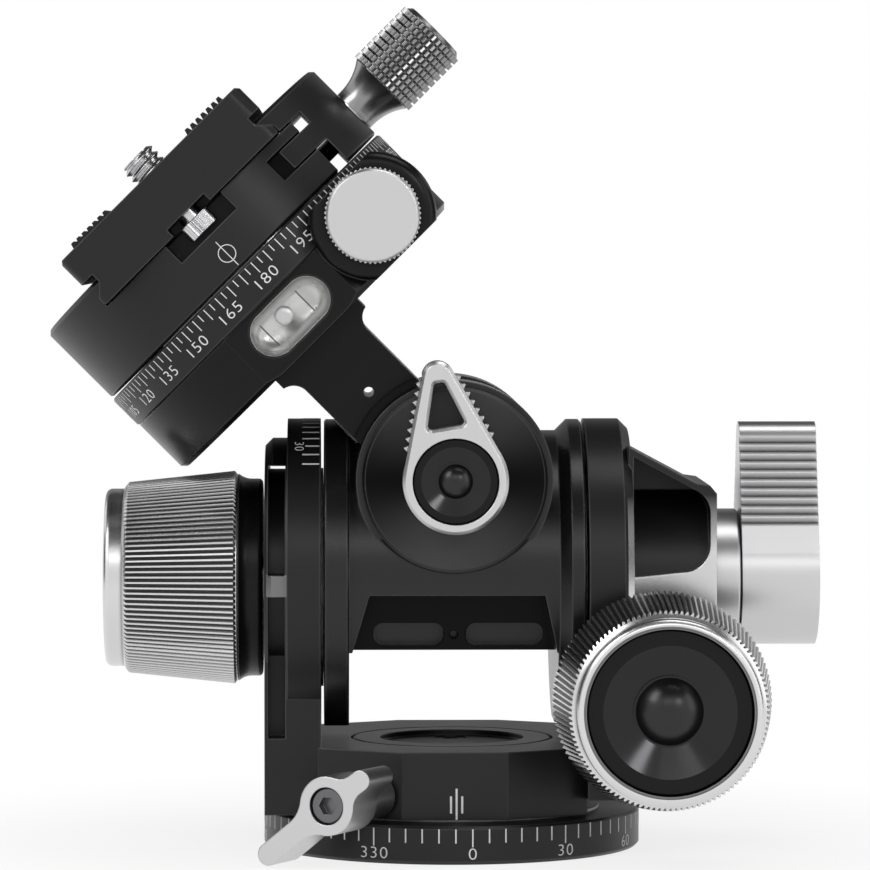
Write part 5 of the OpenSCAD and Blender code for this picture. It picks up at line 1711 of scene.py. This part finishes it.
class CameraScrew(Maker):
    """The camera screw with a real thread above the plate."""

    SIZES = ThreadSizes()
    COLUMNS = 64
    ROWS = 72
    SAME_POINT = 1e-7

    def build(self) -> None:
        """Makes the screw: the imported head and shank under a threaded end."""
        name = "threaded_camera_screw"
        mesh = self.bench.join([self._lower(), self._thread()], name)
        self.bench.hand_in(mesh, name, "camera_stud", "steel", Finish.STEEL, "camera_screw")

    def _lower(self) -> bpy.types.Mesh:
        """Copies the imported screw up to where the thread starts.

        Returns:
            The head and shank.
        """
        arm = self.places.arm
        work = bmesh.new()
        work.from_mesh(self.bench.nodes["camera_screw"].data)
        bmesh.ops.remove_doubles(work, verts=work.verts, dist=self.SAME_POINT)
        bmesh.ops.bisect_plane(
            work, geom=work.verts[:] + work.edges[:] + work.faces[:], clear_outer=True,
            plane_co=arm @ Vector((0.0, 0.0, self.SIZES.low + self.SIZES.overlap)),
            plane_no=(arm.to_3x3() @ Vector((0.0, 0.0, 1.0))).normalized(),
        )
        bmesh.ops.holes_fill(work, edges=[edge for edge in work.edges if edge.is_boundary])
        return finished(work, "camera_screw_lower")

    def _radius(self, height: float, turn: float) -> float:
        """Gives the thread's radius.

        Args:
            height: Height over the thread's start.
            turn: Share of a turn about the axis.

        Returns:
            The radius.
        """
        s = self.SIZES
        phase = (height / s.pitch - turn) % 1.0
        depth = min(1.0, max(0.0, s.flank * abs(phase - 0.5) - s.flat))
        end = s.root + max(0.0, s.high - s.low - height) * s.taper
        return min(s.root + (s.crest - s.root) * depth, end)

    def _thread(self) -> bpy.types.Mesh:
        """Turns the thread's round surface and closes its ends.

        Returns:
            The threaded end.
        """
        s = self.SIZES
        work = bmesh.new()
        rings = []
        for row in range(self.ROWS + 1):
            height = (s.high - s.low) * row / self.ROWS
            ring = []
            for column in range(self.COLUMNS):
                turn = column / self.COLUMNS
                r, angle = self._radius(height, turn), TURN * turn
                ring.append(work.verts.new((r * math.cos(angle), r * math.sin(angle), s.low + height)))
            rings.append(ring)
        skin(work, rings)
        for end in (rings[-1], rings[0]):
            work.faces.new(end)
        mesh = finished(work, "camera_screw_thread")
        mesh.transform(self.places.arm)
        return mesh


class NodeDresser:
    """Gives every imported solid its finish."""

    # The bracket's milled rim, fading upwards into painted shade, a box of painted shade in the recess under
    # the barrel and a painted highlight bar on the left pillar.
    RIM_Y = 16.0 * MM
    CHAMFER_X = (27.2 * MM, 28.4 * MM)
    RIM_SHADE_FADE = (57.0 * MM, 48.0 * MM)
    RIM_FOOT = 20.0 * MM
    RECESS_SHADE_MIDDLE = (0.0, -15.5 * MM, 36.4 * MM)
    RECESS_SHADE_HALF = (16.0 * MM, 2.5 * MM, 5.2 * MM)
    HIGHLIGHT_BAR_MIDDLE = (-27.9 * MM, -21.9 * MM, 43.1 * MM)
    HIGHLIGHT_BAR_HALF = (1.75 * MM, 1.0 * MM, 1.75 * MM)

    def __init__(self, shop: FinishShop, places: HeadPlaces, nodes: dict[str, bpy.types.Object]) -> None:
        """Keeps the shop, the places and the solids.

        Args:
            shop: Where materials come from.
            places: Where things are.
            nodes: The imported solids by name.
        """
        self.shop = shop
        self.places = places
        self.nodes = nodes

    def dress(self) -> None:
        """Puts a finish on each solid."""
        worn = {name: self.shop.get(finish) for finish, names in WEARERS.items() for name in names}
        # Painted shade: the milled rim is painted fading to black towards its top; its brightness is partly a
        # painted reflection.
        rim = RimTone(Finish.RIM, self.RIM_Y, self.CHAMFER_X, self.RIM_SHADE_FADE, self.RIM_FOOT)
        worn["right_bracket"] = self.shop.get(Finish.BLACK, rim, "black_with_milled_rim")
        # Painted highlight: a bright grey bar painted on the left pillar.
        bar = BoxTone(Finish.PAINTED_SHADE_HIGHLIGHT_GREY, self.HIGHLIGHT_BAR_MIDDLE, self.HIGHLIGHT_BAR_HALF)
        worn["main_frame"] = self.shop.get(Finish.BLACK, bar, "black_with_bright_bar")
        # Painted shade: a darker black painted in a box in the recess under the barrel.
        pit = BoxTone(Finish.BLACK_PAINTED_SHADE, self.RECESS_SHADE_MIDDLE, self.RECESS_SHADE_HALF)
        worn["tilt_body"] = self.shop.get(Finish.BLACK_SATIN, pit, "satin_black_with_recess")
        # Painted sheen: pale fans painted above and below the middle of the round caps, painted shade at the
        # sides.
        fans = PaintedSheenTone(Finish.BLACK_PAINTED_SHEEN, self.places.roll_z)
        for name in ("roll_front_cap", "roll_rear_cap"):
            worn[name] = self.shop.get(Finish.BLACK_SMOOTH, fans)
        for name, material in worn.items():
            materials = self.nodes[name].data.materials
            materials.clear()
            materials.append(material)
            LOG.info("%s: %s", name, material.name)
        bare = sorted(set(self.nodes) - set(worn))
        if bare:
            LOG.warning("no finish chosen for %s", bare)


@dataclass(frozen=True)
class Panel:
    """A rectangular lamp, or a card that only reflections see.

    Args:
        name: Its name.
        place: Its middle.
        target: What it faces.
        width: Its width.
        height: Its height.
        strength: A lamp's power in watts, or how bright a card is, 1 for white.
    """

    name: str
    place: Triple
    target: Triple
    width: float
    height: float
    strength: float


@dataclass(frozen=True)
class CameraSetting:
    """Where the photograph was taken from.

    Args:
        place: The camera's place.
        focal: Focal length in pixels.
        picture: Width of the picture in pixels.
        right: Pixels that it looks to the right of straight ahead.
        down: Pixels that it looks below the horizon.
        sensor: Width of the sensor in millimetres.
        clip: Nearest and farthest distance seen.
    """

    place: Triple = (-0.018, -0.806, 0.098)
    focal: float = 5000.0
    picture: float = 870.0
    right: float = 95.0
    down: float = 199.0
    sensor: float = 36.0
    clip: Pair = (0.01, 20.0)

    @property
    def ahead(self) -> Vector:
        """The way it looks."""
        yaw, pitch = math.atan(self.right / self.focal), math.atan(self.down / self.focal)
        level = math.cos(pitch)
        return Vector((math.sin(yaw) * level, math.cos(yaw) * level, -math.sin(pitch)))


@dataclass
class Studio:
    """Camera, lamps, cards, floor and white surroundings.

    Args:
        camera: Where the picture is taken from.
        lamps: The soft boxes.
        cards: The cards.
    """

    FLOOR: ClassVar[float] = 8.0
    PAINT: ClassVar[float] = 0.9
    # Distances from the middle, and the floor's share of pure white there.
    SHADOW_FADE: ClassVar[tuple[float, ...]] = (0.045, 0.12, 0.80, 1.0)
    AMBIENT: ClassVar[float] = 0.5  # strength of the surroundings as light

    camera: CameraSetting = field(default_factory=CameraSetting)
    lamps: tuple[Panel, ...] = (
        Panel("key_lamp", (-0.62, -0.45, 0.70), (0.0, 0.0, 0.06), 0.35, 0.5, 2.6),
        Panel("front_lamp", (-0.02, -0.95, 0.56), (0.0, 0.0, 0.06), 0.5, 0.16, 0.36),
        Panel("fan_lamp", (0.48, -0.80, 0.52), (0.0, 0.0, 0.06), 0.20, 0.16, 0.8),
        Panel("side_lamp", (0.80, -0.30, 0.35), (0.0, 0.0, 0.06), 0.25, 0.7, 0.5),
        Panel("top_lamp", (0.25, -0.05, 0.85), (0.25, -0.05, 0.0), 0.5, 0.30, 1.4),
    )
    cards: tuple[Panel, ...] = (
        Panel("front_card", (0.0, -1.6, 0.25), (0.0, 0.0, 0.06), 1.5, 1.0, 0.9),
        Panel("over_card", (0.0, 0.35, 1.15), (0.0, 0.35, 0.0), 2.4, 3.0, 0.06),
        Panel("back_card", (0.0, 1.75, 0.62), (0.0, 0.0, 0.05), 2.4, 0.9, 0.25),
        Panel("left_card", (-1.1, 0.1, 0.2), (0.0, 0.0, 0.05), 0.9, 0.8, 0.12),
        Panel("right_card", (1.1, 0.3, 0.2), (0.0, 0.0, 0.05), 0.8, 0.8, 0.12),
    )

    def build(self) -> None:
        """Sets the whole studio up."""
        self._camera()
        for lamp in self.lamps:
            self._lamp(lamp)
        for card in self.cards:
            self._card(card)
        self._floor()
        self._world()
        bpy.context.scene.view_settings.view_transform = "Standard"

    def _camera(self) -> None:
        """Sets the camera up and makes it the scene's."""
        setting = self.camera
        data = bpy.data.cameras.new("camera")
        data.sensor_width = setting.sensor
        data.lens = setting.focal / setting.picture * setting.sensor
        data.clip_start, data.clip_end = setting.clip
        camera = bpy.data.objects.new("camera", data)
        camera.location = setting.place
        camera.rotation_mode = "QUATERNION"
        camera.rotation_quaternion = setting.ahead.to_track_quat("-Z", "Y")
        bpy.context.scene.collection.objects.link(camera)
        bpy.context.scene.camera = camera

    @staticmethod
    def _aim(panel: Panel) -> Matrix:
        """Gives the place of a lamp or card that faces its target.

        Args:
            panel: The lamp or card.

        Returns:
            Its place and turn.
        """
        start = Vector(panel.place)
        turn = (Vector(panel.target) - start).to_track_quat("-Z", "Y")
        return Matrix.Translation(start) @ turn.to_matrix().to_4x4()

    def _lamp(self, lamp: Panel) -> None:
        """Sets a lamp up.

        Args:
            lamp: The lamp.
        """
        data = bpy.data.lights.new(lamp.name, "AREA")
        data.shape = "RECTANGLE"
        data.size, data.size_y = lamp.width, lamp.height
        data.energy = lamp.strength
        obj = bpy.data.objects.new(lamp.name, data)
        obj.matrix_world = self._aim(lamp)
        bpy.context.scene.collection.objects.link(obj)

    @staticmethod
    def _sheet(name: str, width: float, height: float, material: bpy.types.Material) -> bpy.types.Object:
        """Puts a level rectangle into the scene, on the stage.

        Args:
            name: Its name.
            width: Its size along X.
            height: Its size along Y.
            material: Its material.

        Returns:
            The rectangle.
        """
        mesh = bpy.data.meshes.new(name)
        x, y = width / 2, height / 2
        mesh.from_pydata([(-x, -y, 0.0), (x, -y, 0.0), (x, y, 0.0), (-x, y, 0.0)], [], [(0, 1, 2, 3)])
        mesh.materials.append(material)
        obj = bpy.data.objects.new(name, mesh)
        bpy.context.scene.collection.objects.link(obj)
        return obj

    def _card(self, card: Panel) -> None:
        """Sets a card up.

        Args:
            card: The card.
        """
        material = bpy.data.materials.new(card.name)
        material.use_nodes = True
        sheet = NodeSheet(material.node_tree)
        glow = sheet.add("ShaderNodeEmission", "card", Color=WHITE, Strength=card.strength)
        sheet.add("ShaderNodeOutputMaterial", "surface", Surface=glow.outputs[0])
        obj = self._sheet(card.name, card.width, card.height, material)
        obj.matrix_world = self._aim(card)
        obj.visible_camera = obj.visible_diffuse = obj.visible_shadow = False

    def _floor(self) -> None:
        """Lays a floor that shows white, and some of its paint near the object, where that shades it."""
        material = bpy.data.materials.new("floor_white")
        material.use_nodes = True
        sheet = NodeSheet(material.node_tree)
        paint = sheet.add("ShaderNodeBsdfDiffuse", "paint", Color=(self.PAINT, self.PAINT, self.PAINT, 1.0))
        glow = sheet.add("ShaderNodeEmission", "white", Color=WHITE, Strength=1.0)
        place = sheet.add("ShaderNodeTexCoord", "place")
        away = sheet.vector("LENGTH", "from the object", place.outputs["Object"])
        near = sheet.ramp("near it", away.outputs["Value"], self.SHADOW_FADE)
        near.interpolation_type = "SMOOTHSTEP"
        white = sheet.math("MULTIPLY", "white where seen", self._seen(sheet), near.outputs[0])
        mix = sheet.add("ShaderNodeMixShader", "white to the camera", Fac=white)
        sheet.feed(mix.inputs[1], paint.outputs[0])
        sheet.feed(mix.inputs[2], glow.outputs[0])
        sheet.add("ShaderNodeOutputMaterial", "surface", Surface=mix.outputs[0])
        self._sheet("floor", self.FLOOR, self.FLOOR, material)

    @staticmethod
    def _seen(sheet: NodeSheet) -> bpy.types.NodeSocket:
        """Says which rays see a surface rather than gather its light.

        Args:
            sheet: The nodes.

        Returns:
            1 for rays from the camera, off a mirror or through glass.
        """
        path = sheet.add("ShaderNodeLightPath", "seen by").outputs
        glossy = sheet.math("MAXIMUM", "camera or glossy", path["Is Camera Ray"], path["Is Glossy Ray"])
        return sheet.math("MAXIMUM", "or through glass", glossy, path["Is Transmission Ray"])

    def _world(self) -> None:
        """Makes the surroundings white to the camera and in reflections, and dimmer as light."""
        world = bpy.data.worlds.new("white_room")
        world.use_nodes = True
        sheet = NodeSheet(world.node_tree)
        seen = self._seen(sheet)
        strength = sheet.math("MULTIPLY_ADD", "strength", seen, 1.0 - self.AMBIENT, self.AMBIENT)
        back = sheet.add("ShaderNodeBackground", "white", Color=WHITE, Strength=strength)
        sheet.add("ShaderNodeOutputWorld", "surroundings", Surface=back.outputs[0])
        bpy.context.scene.world = world


@dataclass
class TripodHead:
    """The whole head with its looks.

    Args:
        nodes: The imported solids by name.
        places: Where things are.
    """

    MAKERS: ClassVar[tuple[type[Maker], ...]] = (
        DialMarks, DishedCaps, FrontLever, RibbedKnobs, SpiritLevel, CameraScrew,
    )

    nodes: dict[str, bpy.types.Object]
    places: HeadPlaces = field(default_factory=HeadPlaces)

    def build(self) -> None:
        """Dresses the solids and makes what they leave out."""
        shop = FinishShop()
        NodeDresser(shop, self.places, self.nodes).dress()
        bench = PieceBench(shop, self.nodes)
        for maker in self.MAKERS:
            maker(bench, self.places).build()


def main() -> None:
    logging.basicConfig(level=logging.INFO, format="%(name)s %(levelname)s %(message)s")
    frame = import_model()
    TripodHead(frame["nodes"]).build()
    Studio().build()
    LOG.info("%d solids dressed", len(frame["nodes"]))


if __name__ == "__main__":
    main()
